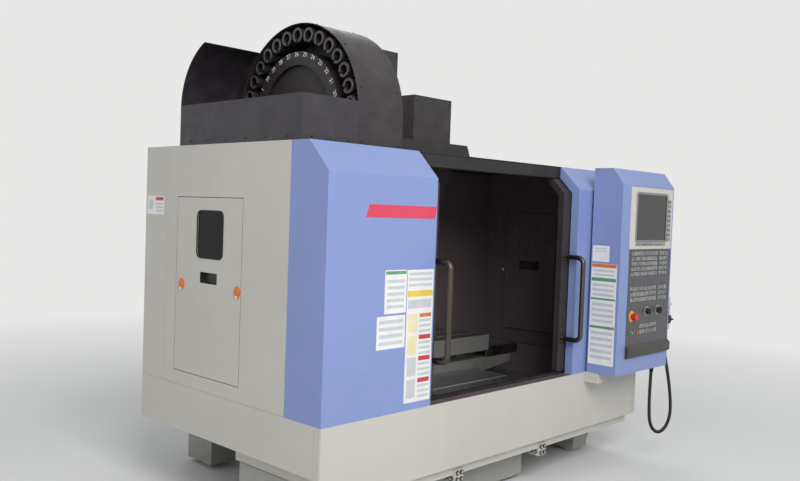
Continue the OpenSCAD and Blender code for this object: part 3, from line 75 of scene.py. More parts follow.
TONGUE_IN = 8.5
GRIP = (733.0, 1045.0, 868.0, 1095.0)
SERVICE_WINDOW = (698.0, 1165.0, 895.0, 1369.0)
LEAF_X = (79.0, 1712.0)
LEAF_W = 622.0
LEAF_Y = 50.0
DOOR_WINDOW_W = 300.0
DOOR_WINDOW_Z = (900.0, 1420.0)
HANDLE_X = (665.0, 1748.0)
HANDLE_Z = (745.0, 1187.0)
FLANGE_Y = 45.0


def at(x, y, z):
    """A place in millimetres as a point of the frame in metres."""
    return Vector(((x - ORIGIN_X) / 1000, (y - ORIGIN_Y) / 1000, z / 1000))


# Ways along the axes
LEFT, RIGHT, FORWARD, BACKWARD = (-1, 0, 0), (1, 0, 0), (0, -1, 0), (0, 1, 0)
UP, DOWN = (0, 0, 1), (0, 0, -1)


def srgb(red, green, blue):
    """A colour of 0 to 255 as the linear colour that a shader takes."""
    channels = []
    for value in (red, green, blue):
        value /= 255
        channels.append(value / 12.92 if value < 0.04045 else ((value + 0.055) / 1.055) ** 2.4)
    return (*channels, 1.0)


def make_object(name, data):
    """Puts an object of a mesh, a curve, a lamp or a camera into the scene."""
    made = bpy.data.objects.new(name, data)
    bpy.context.scene.collection.objects.link(made)
    return made


# Camera
CAMERA_PLACE = (-3.3676, -3.3706, 1.4037)
CAMERA_YAW, CAMERA_PITCH, CAMERA_ROLL = 43.86, -2.04, 2.00
CAMERA_LENS = 37.32


def make_camera():
    """The camera of the photograph: its place, its turn about three axes and its lens."""
    yaw, pitch, roll = (math.radians(a) for a in (CAMERA_YAW, CAMERA_PITCH, CAMERA_ROLL))
    ahead = Vector((math.cos(pitch) * math.cos(yaw), math.cos(pitch) * math.sin(yaw),
                    math.sin(pitch)))
    level_right = Vector((math.sin(yaw), -math.cos(yaw), 0))
    level_up = level_right.cross(ahead)
    right = math.cos(roll) * level_right + math.sin(roll) * level_up
    up = -math.sin(roll) * level_right + math.cos(roll) * level_up
    data = bpy.data.cameras.new("camera")
    data.lens = CAMERA_LENS
    data.sensor_width = 36
    data.sensor_fit = "HORIZONTAL"
    data.clip_start, data.clip_end = 0.05, 200
    camera = make_object("camera", data)
    turn = Matrix((right, up, -ahead)).transposed().to_4x4()
    camera.matrix_world = Matrix.Translation(CAMERA_PLACE) @ turn
    bpy.context.scene.camera = camera


make_camera()


# Mesh helpers
def piece(name, mesh_data, body, finishes, smooth=35):
    """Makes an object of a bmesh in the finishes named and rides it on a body."""
    bmesh.ops.recalc_face_normals(mesh_data, faces=mesh_data.faces)
    mesh = bpy.data.meshes.new(name)
    mesh_data.to_mesh(mesh)
    mesh_data.free()
    for finish in finishes:
        mesh.materials.append(mats[finish])
    mesh.polygons.foreach_set("use_smooth", [True] * len(mesh.polygons))
    mesh.set_sharp_from_angle(angle=math.radians(smooth))
    obj = make_object(name, mesh)
    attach(obj, body)
    return obj


CORNER_STEPS = 5


def rounded(u0, v0, u1, v1, r):
    """The corners of a rectangle with round corners, in turning order."""
    r = max(min(r, (u1 - u0) / 2 - 1e-4, (v1 - v0) / 2 - 1e-4), 1e-3)
    corners = ((u1 - r, v1 - r, 0), (u0 + r, v1 - r, 90), (u0 + r, v0 + r, 180),
               (u1 - r, v0 + r, 270))
    points = []
    for cu, cv, start in corners:
        for k in range(CORNER_STEPS + 1):
            a = math.radians(start + 90 * k / CORNER_STEPS)
            points.append((cu + r * math.cos(a), cv + r * math.sin(a)))
    return points


def skin(bm, first, second, mat):
    """The faces between two rings of vertices."""
    n = len(first)
    for k in range(n):
        corners = (first[k], first[(k + 1) % n], second[(k + 1) % n], second[k])
        bm.faces.new(corners).material_index = mat


def loops(bm, rings, mat=0, close=True):
    """Skins a list of rings with as many points each, and caps both ends where close is true."""
    made = [[bm.verts.new(p) for p in ring] for ring in rings]
    for first, second in zip(made, made[1:]):
        skin(bm, first, second, mat)
    if close:
        bm.faces.new(list(reversed(made[0]))).material_index = mat
        bm.faces.new(made[-1]).material_index = mat
    return made


def pad(bm, area, r, place, w0, w1, c, mat=0):
    """A flat piece with round corners and a front with a chamfer c. place(u, v, w) gives its
    points, from w0 at its back to w1 at its front."""
    u0, v0, u1, v1 = area
    outline = rounded(u0, v0, u1, v1, r)
    front = rounded(u0 + c, v0 + c, u1 - c, v1 - c, r - c)
    layers = ((outline, w0), (outline, w1 - c), (front, w1))
    loops(bm, [[place(u, v, w) for u, v in corners] for corners, w in layers], mat)


def border(bm, area, place, width, height, r, c):
    """A raised frame round an area: its outside is width larger, and its edges are chamfered."""
    u0, v0, u1, v1 = area

    def ring(grow, w):
        outline = rounded(u0 - grow, v0 - grow, u1 + grow, v1 + grow, r + grow)
        return [place(u, v, w) for u, v in outline]

    rings = [ring(width, 0), ring(width - c, height), ring(c, height), ring(0, 0)]
    made = loops(bm, rings, close=False)
    skin(bm, made[-1], made[0], 0)


def lathe(bm, centre, axis, rings, sides=24, mat=0, close=True):
    """Turns a profile about an axis. Each ring is (distance along the axis, radius) in millimetres,
    with a third value "hex" for a six-sided one."""
    axis = Vector(axis).normalized()
    side = axis.orthogonal().normalized()
    other = axis.cross(side)
    centre = at(*centre)
    skins = []
    for ring in rings:
        distance, radius = ring[0] / 1000, ring[1] / 1000
        points = []
        for k in range(sides):
            a = 2 * math.pi * k / sides
            reach = radius
            if len(ring) > 2:
                reach = radius / math.cos((a + math.pi / 6) % (math.pi / 3) - math.pi / 6)
            ray = side * math.cos(a) + other * math.sin(a)
            points.append(centre + axis * distance + ray * reach)
        skins.append(points)
    loops(bm, skins, mat, close)


def cap_screw(bm, centre, axis, d, h=None):
    """The head of a socket screw that stands on a face: d is its diameter, and h its height."""
    h = h or 0.55 * d
    rings = [(-0.3, d / 2), (h - 0.08 * d, d / 2), (h, d / 2 - 0.08 * d), (h, 0.29 * d, "hex"),
             (0.45 * h, 0.28 * d, "hex")]
    lathe(bm, centre, axis, rings)


def pan_screw(bm, centre, axis, d, mat=0):
    """A low dome screw with a hex recess, as sheet covers have."""
    rings = [(-0.2, d / 2), (0.08 * d, d / 2), (0.2 * d, 0.42 * d), (0.27 * d, 0.3 * d),
             (0.27 * d, 0.19 * d, "hex"), (0.08 * d, 0.18 * d, "hex")]
    lathe(bm, centre, axis, rings, mat=mat)


face_trees = {}


def surface(node, start, way):
    """Where a ray from a place in millimetres first meets a CAD node, in millimetres, and the way
    that the face looks there. None and None where it meets nothing."""
    if node not in face_trees:
        mesh = nodes[node].data
        face_trees[node] = BVHTree.FromPolygons([v.co for v in mesh.vertices],
                                                [f.vertices for f in mesh.polygons])
    hit, normal = face_trees[node].ray_cast(at(*start), Vector(way))[:2]
    if hit is None:
        return None, None
    if normal.dot(Vector(way)) > 0:
        normal = -normal
    return (hit.x * 1000 + ORIGIN_X, hit.y * 1000 + ORIGIN_Y, hit.z * 1000), normal


def screw_run(bm, node, start, end, count, way, d):
    """Pan screws on a node, where the rays from an even row of places meet it."""
    for k in range(count):
        part = k / max(count - 1, 1)
        place, normal = surface(node, [a + (b - a) * part for a, b in zip(start, end)], way)
        if place:
            pan_screw(bm, place, normal, d)


def facing_x(x, sign):
    """Maps (y, z, out) on an upright face at x that looks to the left, -1, or to the right, 1."""
    return lambda u, v, w: at(x + sign * w, u, v)


def facing_y(y, sign):
    """Maps (x, z, out) on an upright face at y that looks to the front, -1, or to the back, 1."""
    return lambda u, v, w: at(u, y + sign * w, v)


# Shader helpers
def add(tree, kind, links=(), **settings):
    """Adds a node, sets its properties and links or sets its inputs by name or number."""
    node = tree.nodes.new(kind)
    for key, value in settings.items():
        setattr(node, key, value)
    for key, value in dict(links).items():
        socket = node.inputs[key]
        if isinstance(value, bpy.types.NodeSocket):
            tree.links.new(value, socket)
        else:
            socket.default_value = value
    return node


def own_place(tree):
    """The place on the object, in its own coordinates, which are the frame's."""
    return add(tree, "ShaderNodeTexCoord").outputs["Object"]


def noise(tree, scale, detail=3.0, rough=0.5, stretch=(1, 1, 1)):
    """A noise over the object's own coordinates; scale is in waves per metre."""
    links = {"Vector": own_place(tree), "Scale": stretch}
    mapped = add(tree, "ShaderNodeMapping", links).outputs["Vector"]
    links = {"Vector": mapped, "Scale": scale, "Detail": detail, "Roughness": rough}
    return add(tree, "ShaderNodeTexNoise", links).outputs["Fac"]


def spread(tree, value, low, high, start=0.3, end=0.7):
    """Maps a value from its own range to low and high."""
    links = {"Value": value, "From Min": start, "From Max": end, "To Min": low, "To Max": high}
    return add(tree, "ShaderNodeMapRange", links).outputs["Result"]


def math_node(tree, operation, a, b):
    """One operation on two values."""
    return add(tree, "ShaderNodeMath", {0: a, 1: b}, operation=operation).outputs[0]


def vector_node(tree, operation, a, b=(0, 0, 0), result="Vector"):
    """One operation on two vectors."""
    return add(tree, "ShaderNodeVectorMath", {0: a, 1: b}, operation=operation).outputs[result]


def blend(tree, factor, a, b):
    """One colour or another by a factor."""
    return add(tree, "ShaderNodeMix", {0: factor, 6: a, 7: b}, data_type="RGBA").outputs[2]


def shade(colour, factor):
    """A colour made darker or lighter."""
    return (*(min(channel * factor, 1.0) for channel in colour[:3]), 1.0)


def inside(tree, low, high):
    """1 inside a box between two corners in millimetres, and 0 outside it."""
    parts = add(tree, "ShaderNodeSeparateXYZ", {0: own_place(tree)}).outputs
    low, high = at(*low), at(*high)
    mask = None
    for k in range(3):
        above = math_node(tree, "GREATER_THAN", parts[k], low[k])
        below = math_node(tree, "LESS_THAN", parts[k], high[k])
        both = math_node(tree, "MULTIPLY", above, below)
        mask = both if mask is None else math_node(tree, "MULTIPLY", mask, both)
    return mask


def near_axis(tree, centre, r):
    """1 within r millimetres of an axis along X through a place, and 0 beyond it."""
    flat = vector_node(tree, "MULTIPLY", own_place(tree), (0, 1, 1))
    centre = at(*centre)
    away = vector_node(tree, "DISTANCE", flat, (0, centre.y, centre.z), "Value")
    return math_node(tree, "LESS_THAN", away, r / 1000)


def round_normal(tree, radius):
    """The way that a face looks, turned near its edges as if they were round."""
    return add(tree, "ShaderNodeBevel", {"Radius": radius}, samples=4).outputs["Normal"]


def edge_mask(tree, radius):
    """1 along the edges of a solid and 0 on its faces."""
    true = add(tree, "ShaderNodeNewGeometry").outputs["Normal"]
    dot = vector_node(tree, "DOT_PRODUCT", round_normal(tree, radius), true, "Value")
    return spread(tree, dot, 1.0, 0.0, 0.90, 0.995)


def start_material(name):
    """A material with a node tree, and its shader."""
    mat = bpy.data.materials.new(name)
    mat.use_nodes = True
    return mat, mat.node_tree, mat.node_tree.nodes["Principled BSDF"]


def bumped(tree, bsdf, height, strength, distance, soft_edge):
    """Adds a bump, over edges that are rounded by soft_edge metres."""
    links = {"Height": height, "Strength": strength, "Distance": distance,
             "Normal": round_normal(tree, soft_edge)}
    tree.links.new(add(tree, "ShaderNodeBump", links).outputs["Normal"], bsdf.inputs["Normal"])


def coat(tree, bsdf, tone, roughness):
    """Gives a shader its tone and its roughness."""
    tree.links.new(tone, bsdf.inputs["Base Color"])
    tree.links.new(roughness, bsdf.inputs["Roughness"])


def painted(name, colour, rough, peel, clouds, wear=0.2, dust=0.03, parts=()):
    """Sprayed sheet metal: orange peel, faint clouds in its tone, wiped dust and rubbed edges. Each
    of the parts has another colour, and a function that makes the mask of where it lies."""
    mat, tree, bsdf = start_material(name)
    cloud = spread(tree, noise(tree, 1.7, 4.0, 0.6), 0.0, 1.0)
    tone = blend(tree, cloud, shade(colour, 1 - clouds), shade(colour, 1 + clouds))
    for part_colour, mask in parts:
        tone = blend(tree, mask(tree), tone, part_colour)
    dirt = spread(tree, noise(tree, 9.0, 8.0, 0.7), 0.0, dust, 0.45, 0.75)
    tone = blend(tree, dirt, tone, DUST)
    if wear:
        patches = spread(tree, noise(tree, 30, 4), 0.0, wear, 0.45, 0.7)
        rubbed = math_node(tree, "MULTIPLY", edge_mask(tree, 0.002), patches)
        tone = blend(tree, rubbed, tone, shade(colour, 1.7))
    coat(tree, bsdf, tone, spread(tree, noise(tree, 14, 6, 0.65), rough - 0.06, rough + 0.10))
    bsdf.inputs["Specular IOR Level"].default_value = 0.45
    bumped(tree, bsdf, noise(tree, 420, 2.0), peel, 0.0006, 0.0015)
    return mat


def cast(name, colour, machined=None):
    """Painted cast iron: a coarse skin under thick paint, with bright machined faces in a box that
    machined gives as its low and high corner."""
    mat, tree, bsdf = start_material(name)
    cloud = spread(tree, noise(tree, 3.0, 5.0, 0.6), 0.0, 1.0)
    tone = blend(tree, cloud, shade(colour, 0.90), shade(colour, 1.07))
    grime = spread(tree, noise(tree, 22, 7, 0.7), 0.0, 0.35, 0.5, 0.78)
    tone = blend(tree, grime, tone, shade(colour, 0.55))
    roughness = spread(tree, noise(tree, 30, 5, 0.6), 0.42, 0.62)
    height = noise(tree, 95, 5.0, 0.6)
    if machined:
        mask = inside(tree, *machined)
        lines = noise(tree, 60, 2.0, 0.5, (1, 14, 1))
        bright = blend(tree, lines, srgb(150, 151, 152), srgb(186, 187, 188))
        tone = blend(tree, mask, tone, bright)
        tree.links.new(mask, bsdf.inputs["Metallic"])
        roughness = math_node(tree, "SUBTRACT", roughness, math_node(tree, "MULTIPLY", mask, 0.18))
        height = math_node(tree, "MULTIPLY", height, math_node(tree, "SUBTRACT", 1.0, mask))
    coat(tree, bsdf, tone, roughness)
    bumped(tree, bsdf, height, 0.35, 0.002, 0.003)
    return mat


def metal(name, colour, rough, scale, grain=(1, 1, 1), bump=0.15):
    """Bare metal: grain along the axis with the smallest stretch, and smudges in its gloss."""
    mat, tree, bsdf = start_material(name)
    bsdf.inputs["Metallic"].default_value = 1.0
    lines = noise(tree, scale, 3.0, 0.55, grain)
    smudge = spread(tree, noise(tree, 6, 6, 0.7), rough - 0.06, rough + 0.12)
    coat(tree, bsdf, blend(tree, lines, shade(colour, 0.86), shade(colour, 1.10)), smudge)
    bumped(tree, bsdf, lines, bump, 0.0004, 0.001)
    return mat


def plastic(name, colour, rough=0.45, grain=900, bump=0.15, specular=0.5):
    """Moulded plastic: a fine spark-eroded grain, with touches in its gloss."""
    mat, tree, bsdf = start_material(name)
    cloud = spread(tree, noise(tree, 18, 4), 0.0, 1.0)
    gloss = spread(tree, noise(tree, 40, 5), rough - 0.07, rough + 0.09)
    coat(tree, bsdf, blend(tree, cloud, shade(colour, 0.95), shade(colour, 1.06)), gloss)
    bsdf.inputs["Specular IOR Level"].default_value = specular
    bumped(tree, bsdf, noise(tree, grain, 2.0), bump, 0.0003, 0.0007)
    return mat


def glass(name, colour):
    """Tinted safety glass with a trace of dried coolant in its gloss."""
    mat, tree, bsdf = start_material(name)
    bsdf.inputs["Transmission Weight"].default_value = 1.0
    bsdf.inputs["IOR"].default_value = 1.49
    film = spread(tree, noise(tree, 12, 7, 0.7), 0.0, 1.0, 0.4, 0.75)
    gloss = spread(tree, noise(tree, 25, 6), 0.03, 0.09)
    coat(tree, bsdf, blend(tree, film, colour, shade(colour, 0.82)), gloss)
    return mat


def key_caps(name, dark, light):
    """Keys of a membrane panel, some lighter than others, each one even."""
    mat, tree, bsdf = start_material(name)
    chance = add(tree, "ShaderNodeNewGeometry").outputs["Random Per Island"]
    tone = blend(tree, spread(tree, chance, 0.0, 1.0, 0.2, 0.8), dark, light)
    tone = blend(tree, noise(tree, 300, 3), shade(dark, 0.9), tone)
    coat(tree, bsdf, tone, spread(tree, noise(tree, 35, 4), 0.38, 0.52))
    bumped(tree, bsdf, noise(tree, 700, 2), 0.15, 0.0003, 0.0012)
    return mat


# Palette
SHELL = srgb(196, 192, 184)
BLUE = srgb(129, 147, 197)
LEAF = srgb(52, 45, 46)
# Inner sides of the enclosure: partly their own dark grey paint, partly painted shade
INNER_AND_SHADE = srgb(104, 92, 94)
COVER = srgb(47, 42, 46)
# The tool space cover's grey, darkened all over as painted shade
TOOL_WALL = srgb(50, 46, 53)
CAST = srgb(158, 158, 151)
# Table and saddle: partly their own darker paint, partly painted shade inside the enclosure
DARK_CAST_AND_SHADE = srgb(98, 97, 93)
HEAD_CAST = srgb(54, 50, 51)
BACKDROP = srgb(232, 232, 231)
CREAM = srgb(206, 201, 190)
KEY_FIELD = srgb(80, 79, 83)
TRAY = srgb(60, 57, 52)
DUST = srgb(170, 166, 158)
SMOKE = srgb(17, 17, 19)

# Borders between the colours of one node
SHEET = 1.5
KEY_FIELD_Z = 1240.0
TRAY_Y = -192.0


def body_inside(tree):
    """The inner sides of the enclosure, whose colour is partly painted shade."""
    return inside(tree, (SHEET, SHEET, CHUTE_Z), (BODY_W - SHEET, BODY_D - SHEET, ROOF_Z - SHEET))


def grips(tree):
    """The recessed grips of the service doors, on both of their sides."""
    y0, z0, y1, z1 = GRIP
    return inside(tree, (0.5, y0 - 3, z0 - 3), (BODY_W - 0.5, y1 + 3, z1 + 3))


def right_window_back(tree):
    """The right service window's inner side, in the inner colour that is partly painted shade."""
    y0, z0, y1, z1 = SERVICE_WINDOW
    return inside(tree, (BODY_W - 12, y0 - 20, z0 - 20), (BODY_W - 5.5, y1 + 20, z1 + 20))


def tool_space_painted_shade(tree):
    """The inner sides of the walls and the arch round the magazine's front, in painted shade."""
    inner_x = DRUM_X - SHEET
    low_part = inside(tree, (SHEET, TOOL_WALL_Y0 + SHEET, 0),
                      (inner_x, TOOL_WALL_Y1 - SHEET, ARC_Z))
    arch_box = inside(tree, (SHEET, 0, ARC_Z), (inner_x, ARC_Y + ARC_R, ARC_Z + ARC_R))
    arch_round = near_axis(tree, (0, ARC_Y, ARC_Z), ARC_R - SHEET)
    arch_part = math_node(tree, "MULTIPLY", arch_box, arch_round)
    return math_node(tree, "MAXIMUM", low_part, arch_part)


def pendant_film():
    """The pendant's front: a pale upper part, a dark field behind the keys and a dark tray."""
    mat, tree, bsdf = start_material("panel_film")
    far = (PANEL_X0 - 9, CASE_Y0 - 60, SILL_Z)
    keys = inside(tree, far, (PANEL_X1 + 9, CASE_Y1, KEY_FIELD_Z))
    tray = inside(tree, far, (PANEL_X1 + 9, TRAY_Y, KEY_FIELD_Z))
    tone = blend(tree, noise(tree, 14, 4), shade(CREAM, 0.97), shade(CREAM, 1.03))
    tone = blend(tree, keys, tone, KEY_FIELD)
    tone = blend(tree, tray, tone, TRAY)
    coat(tree, bsdf, tone, spread(tree, noise(tree, 40, 5), 0.38, 0.52))
    bumped(tree, bsdf, noise(tree, 500, 2.0), 0.08, 0.0003, 0.0007)
    return mat


def latch_head(name, colour, low, high):
    """Moulded latch heads in the box between two corners, on plated spindles and tongues."""
    mat, tree, bsdf = start_material(name)
    head = inside(tree, low, high)
    lines = noise(tree, 60, 3.0, 0.55)
    plate = blend(tree, lines, srgb(198, 198, 200), srgb(228, 229, 231))
    coat(tree, bsdf, blend(tree, head, plate, colour),
         spread(tree, noise(tree, 40, 5), 0.30, 0.44))
    tree.links.new(math_node(tree, "SUBTRACT", 1.0, head), bsdf.inputs["Metallic"])
    bumped(tree, bsdf, lines, 0.1, 0.0003, 0.0007)
    return mat


# Numbers after a colour follow the order of the finish's function
mats = {
    # The shell's inner sides take the inner colour, which is partly painted shade
    "shell": painted("shell_paint", SHELL, 0.42, 0.10, 0.035, 0.5, 0.10,
                     parts=((INNER_AND_SHADE, body_inside), (srgb(22, 21, 23), grips))),
    "blue": painted("blue_paint", BLUE, 0.36, 0.09, 0.03, 0.5, 0.08),
    "leaf": painted("leaf_paint", LEAF, 0.42, 0.12, 0.08),
    # The rear partition's inner colour is partly painted shade
    "inner": painted("inner_paint_and_shade", INNER_AND_SHADE, 0.42, 0.12, 0.08),
    "roof": painted("roof_paint", srgb(42, 38, 42), 0.48, 0.12, 0.08, dust=0.04),
    "cover": painted("cover_paint", COVER, 0.46, 0.12, 0.06, 0.3, 0.05),
    # The tool wall's grey is darkened as painted shade, and its inner sides are darker painted
    # shade
    "tool_wall": painted("tool_wall_paint", TOOL_WALL, 0.46, 0.12, 0.05, 0.3, 0.05,
                         parts=((srgb(34, 28, 36), tool_space_painted_shade),)),
    "disc": painted("disc_paint", srgb(42, 36, 40), 0.42, 0.12, 0.06),
    "bracket": painted("bracket_paint", SHELL, 0.44, 0.10, 0.04, 0.5, 0.12),
    "beam": painted("beam_paint", srgb(28, 25, 27), 0.48, 0.12, 0.06, dust=0.04),
    "cast": cast("cast_paint", CAST),
    "head": cast("head_iron", HEAD_CAST),
    # The table and the saddle are darker partly as painted shade inside the enclosure
    "table": cast("table_iron", DARK_CAST_AND_SHADE, ((700, 480, 718.5), (1700, 920, 721))),
    "column": cast("column_iron", CAST, ((1000, 1110, 895), (1420, 1150.5, 1985))),
    "saddle": cast("saddle_iron", DARK_CAST_AND_SHADE, ((500, 560, 585.3), (1910, 900, 614))),
    "base": cast("base_iron", CAST, ((880, 260, 440.3), (1540, 1150, 471))),
    "steel": metal("sheet_steel", srgb(196, 197, 199), 0.30, 60),
    "turned": metal("turned_steel", srgb(176, 177, 180), 0.26, 300, (1, 1, 0.1)),
    "zinc": metal("zinc_plate", srgb(188, 186, 178), 0.38, 45),
    "chrome": metal("chrome_plate", srgb(222, 223, 226), 0.10, 40, bump=0.03),
    "black_steel": metal("black_oxide_steel", srgb(58, 57, 57), 0.40, 80, bump=0.08),
    "bronze": metal("handle_tube", srgb(92, 84, 78), 0.34, 240, (1, 1, 0.08), 0.1),
    "tint": glass("tinted_glass", srgb(70, 74, 76)),
    "smoked": plastic("smoked_acrylic", SMOKE, 0.22, 200, 0.02, 0.15),
    # The right window's inner side takes the inner colour, which is partly painted shade
    "smoked_right": painted("smoked_acrylic_right", SMOKE, 0.24, 0.02, 0.02, 0, 0.02,
                            parts=((INNER_AND_SHADE, right_window_back),)),
    "screen": plastic("screen_glass", srgb(18, 20, 22), 0.10, 200, 0.02, 0.7),
    "black": plastic("black_plastic", srgb(34, 34, 35), 0.48),
    "rubber": plastic("seal_rubber", srgb(26, 26, 27), 0.62, 500, 0.3, 0.3),
    "panel": pendant_film(),
    "bezel": plastic("bezel_grey", srgb(126, 126, 128), 0.42),
    "handset": plastic("handset_shell", srgb(200, 197, 188), 0.46),
    "pots": plastic("pot_plastic", srgb(40, 37, 40), 0.46),
    "pot_rim": plastic("pot_rim_plastic", srgb(78, 70, 76), 0.46),
    "gear": plastic("gear_housing", srgb(70, 71, 73), 0.46),
    "gear_pale": plastic("gear_pale", srgb(196, 195, 188), 0.46),
    "keys": key_caps("key_caps", srgb(112, 114, 118), srgb(182, 182, 178)),
    "red": plastic("signal_red", srgb(196, 40, 34), 0.28, 700, 0.05),
    "green": plastic("signal_green", srgb(48, 150, 76), 0.28, 700, 0.05),
    "yellow": plastic("signal_yellow", srgb(224, 182, 48), 0.36, 700, 0.05),
    "latch": latch_head("latch_plastic", srgb(214, 122, 58), (-9, 500, 950), (-0.4, 1100, 1100)),
    "orange": plastic("latch_orange", srgb(226, 122, 44), 0.40, 700, 0.06),
    "cord": plastic("cord_rubber", srgb(24, 24, 25), 0.50, 600, 0.2, 0.35),
}
INKS = {
    "label_white": (230, 230, 228),
    "ink_green": (92, 152, 108),
    "ink_yellow": (226, 196, 74),
    "ink_pale_yellow": (228, 220, 176),
    "ink_orange": (216, 116, 56),
    "ink_red": (192, 62, 66),
    "stripe_red": (212, 66, 92),
    "ink_grey": (196, 199, 202),
}
for name, colour in INKS.items():
    mats[name] = plastic(name, srgb(*colour), 0.40, 500, 0.05)

node_finish = {
    "shell": "skirt left_side_panel right_side_panel electrical_cabinet cabinet_door "
             "left_service_door right_service_door",
    "blue": "left_front_cover right_front_cover pendant_case",
    "inner": "rear_partition",
    "leaf": "left_door right_door",
    "disc": "magazine_disc",
    "tool_wall": "tool_space_cover",
    "roof": "roof",
    "beam": "header_beam",
    "cover": "drum_cover z_motor_cover head_cover",
    "cast": "magazine_frame",
    "head": "head",
    "base": "base",
    "column": "column",
    "saddle": "saddle",
    "table": "table",
    "steel": "fixed_way_covers saddle_way_covers table_way_covers y_way_plate z_way_plate",
    "turned": "spindle_cartridge arm_shaft change_arm fixed_axis_drives",
    "zinc": "levelling_pads",
    "bracket": "skirt_brackets",
    "latch": "left_front_latch left_rear_latch",
    "chrome": "spindle",
    "bronze": "left_door_handle right_door_handle",
    "tint": "left_door_glass right_door_glass",
    "smoked": "left_service_window",
    "smoked_right": "right_service_window",
    "screen": "display_glass",
    "pots": "tool_pots active_pot",
    "black": "feed_knob spindle_knob handwheel",
    "panel": "pendant_panel",
    "handset": "handset",
    "keys": "panel_keys",
    "red": "emergency_stop feed_hold_button main_switch",
    "green": "cycle_start_button",
    "cord": "handset_cord",
}
for finish, names in node_finish.items():
    for name in names.split():
        nodes[name].data.materials.clear()
        nodes[name].data.materials.append(mats[finish])


# Handset cord
CORD_D = 20.0
CORD_SIDES = 14
STEPS_A_TURN = 5
CORD_POINTS = [
    (2394, -150, 556), (2389, -151, 500), (2377, -155, 420), (2368, -160, 340), (2368, -163, 275),
    (2377, -165, 231), (2402, -168, 193), (2440, -171, 168), (2484, -173, 159), (2528, -176, 168),
    (2566, -178, 193), (2591, -179, 231), (2600, -179, 275), (2597, -176, 350), (2580, -170, 450),
    (2556, -160, 560), (2536, -148, 670), (2528, -140, 760),
]
RIDGE_PITCH = 6.5
RIDGE_DEPTH = 1.6
SLEEVE = [(0, 15), (5, 15), (7, 13.5), (10, 13.5), (12, 12.6), (15, 12.6), (17, 12), (20, 12),
          (30, 10.8), (36, 10.4)]


def spline(points, i, t):
    """A point of the smooth line through the cord's points, as the part's source has it."""
    a, b = points[max(i - 1, 0)], points[i]
    c, d = points[i + 1], points[min(i + 2, len(points) - 1)]
    cubic = (2 * b, (c - a), (2 * a - 5 * b + 4 * c - d), (3 * b - 3 * c + d - a))
    return 0.5 * (cubic[0] + cubic[1] * t + cubic[2] * t * t + cubic[3] * t**3)


def along(points, spacing):
    """The same line in even steps, and its length."""
    fine = [spline(points, i, k / 60) for i in range(len(points) - 1) for k in range(60)]
    fine.append(points[-1])
    run = [0.0]
    for a, b in zip(fine, fine[1:]):
        run.append(run[-1] + (b - a).length)
    count = round(run[-1] / spacing)
    even, j = [], 0
    for i in range(count + 1):
        goal = run[-1] * i / count
        while j < len(run) - 2 and run[j + 1] < goal:
            j += 1
        even.append(fine[j].lerp(fine[j + 1], (goal - run[j]) / (run[j + 1] - run[j])))
    return even, run[-1]


def make_cord():
    """The handset's curly cord: a tube with turning ridges on the route, and its two sleeves."""
    route = [at(*p) for p in CORD_POINTS]
    line, length = along(route, RIDGE_PITCH / (1000 * STEPS_A_TURN))
    bm = bmesh.new()
    side = Vector(RIGHT)
    rings = []
    for i, point in enumerate(line):
        way = (line[min(i + 1, len(line) - 1)] - line[max(i - 1, 0)]).normalized()
        side = (side - way * side.dot(way)).normalized()
        other = way.cross(side)
        ring = []
        for k in range(CORD_SIDES):
            a = 2 * math.pi * k / CORD_SIDES
            wave = 0.5 + 0.5 * math.cos(2 * math.pi * i / STEPS_A_TURN - a)
            reach = (CORD_D / 2 - RIDGE_DEPTH * wave) / 1000
            ring.append(point + (side * math.cos(a) + other * math.sin(a)) * reach)
        rings.append(ring)
    loops(bm, rings)
    cord = piece("curly_cord", bm, "pendant", ["cord"], smooth=180)
    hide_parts("handset_cord")
    bm = bmesh.new()
    for end in (CORD_POINTS[0], CORD_POINTS[-1]):
        lathe(bm, end, DOWN, SLEEVE)
    sleeves = piece("cord_sleeves", bm, "pendant", ["rubber"])


make_cord()


# Labels and stripe
LABEL_T = 0.6
INK_T = 0.15


def label(name, area, place, body, fields, r=4):
    """A plain plate with fields of colour. Each field is (u0, v0, u1, v1, ink) in parts of the
    plate."""
    inks = ["label_white"] + sorted({field[4] for field in fields})
    u0, v0, u1, v1 = area
    wide, high = u1 - u0, v1 - v0
    bm = bmesh.new()
    pad(bm, area, r, place, 0, LABEL_T, 0.2)
    for a0, b0, a1, b1, ink in fields:
        spot = (u0 + a0 * wide, v0 + b0 * high, u0 + a1 * wide, v0 + b1 * high)
        pad(bm, spot, 1, place, LABEL_T - 0.1, LABEL_T + INK_T, 0.05, inks.index(ink))
    piece(name, bm, body, inks)


def rows(u0, u1, low, high, count, ink):
    """Fields in even rows, from low to high, with gaps as high as the rows."""
    step = (high - low) / (2 * count - 1)
    return [(u0, low + 2 * k * step, u1, low + (2 * k + 1) * step, ink) for k in range(count)]


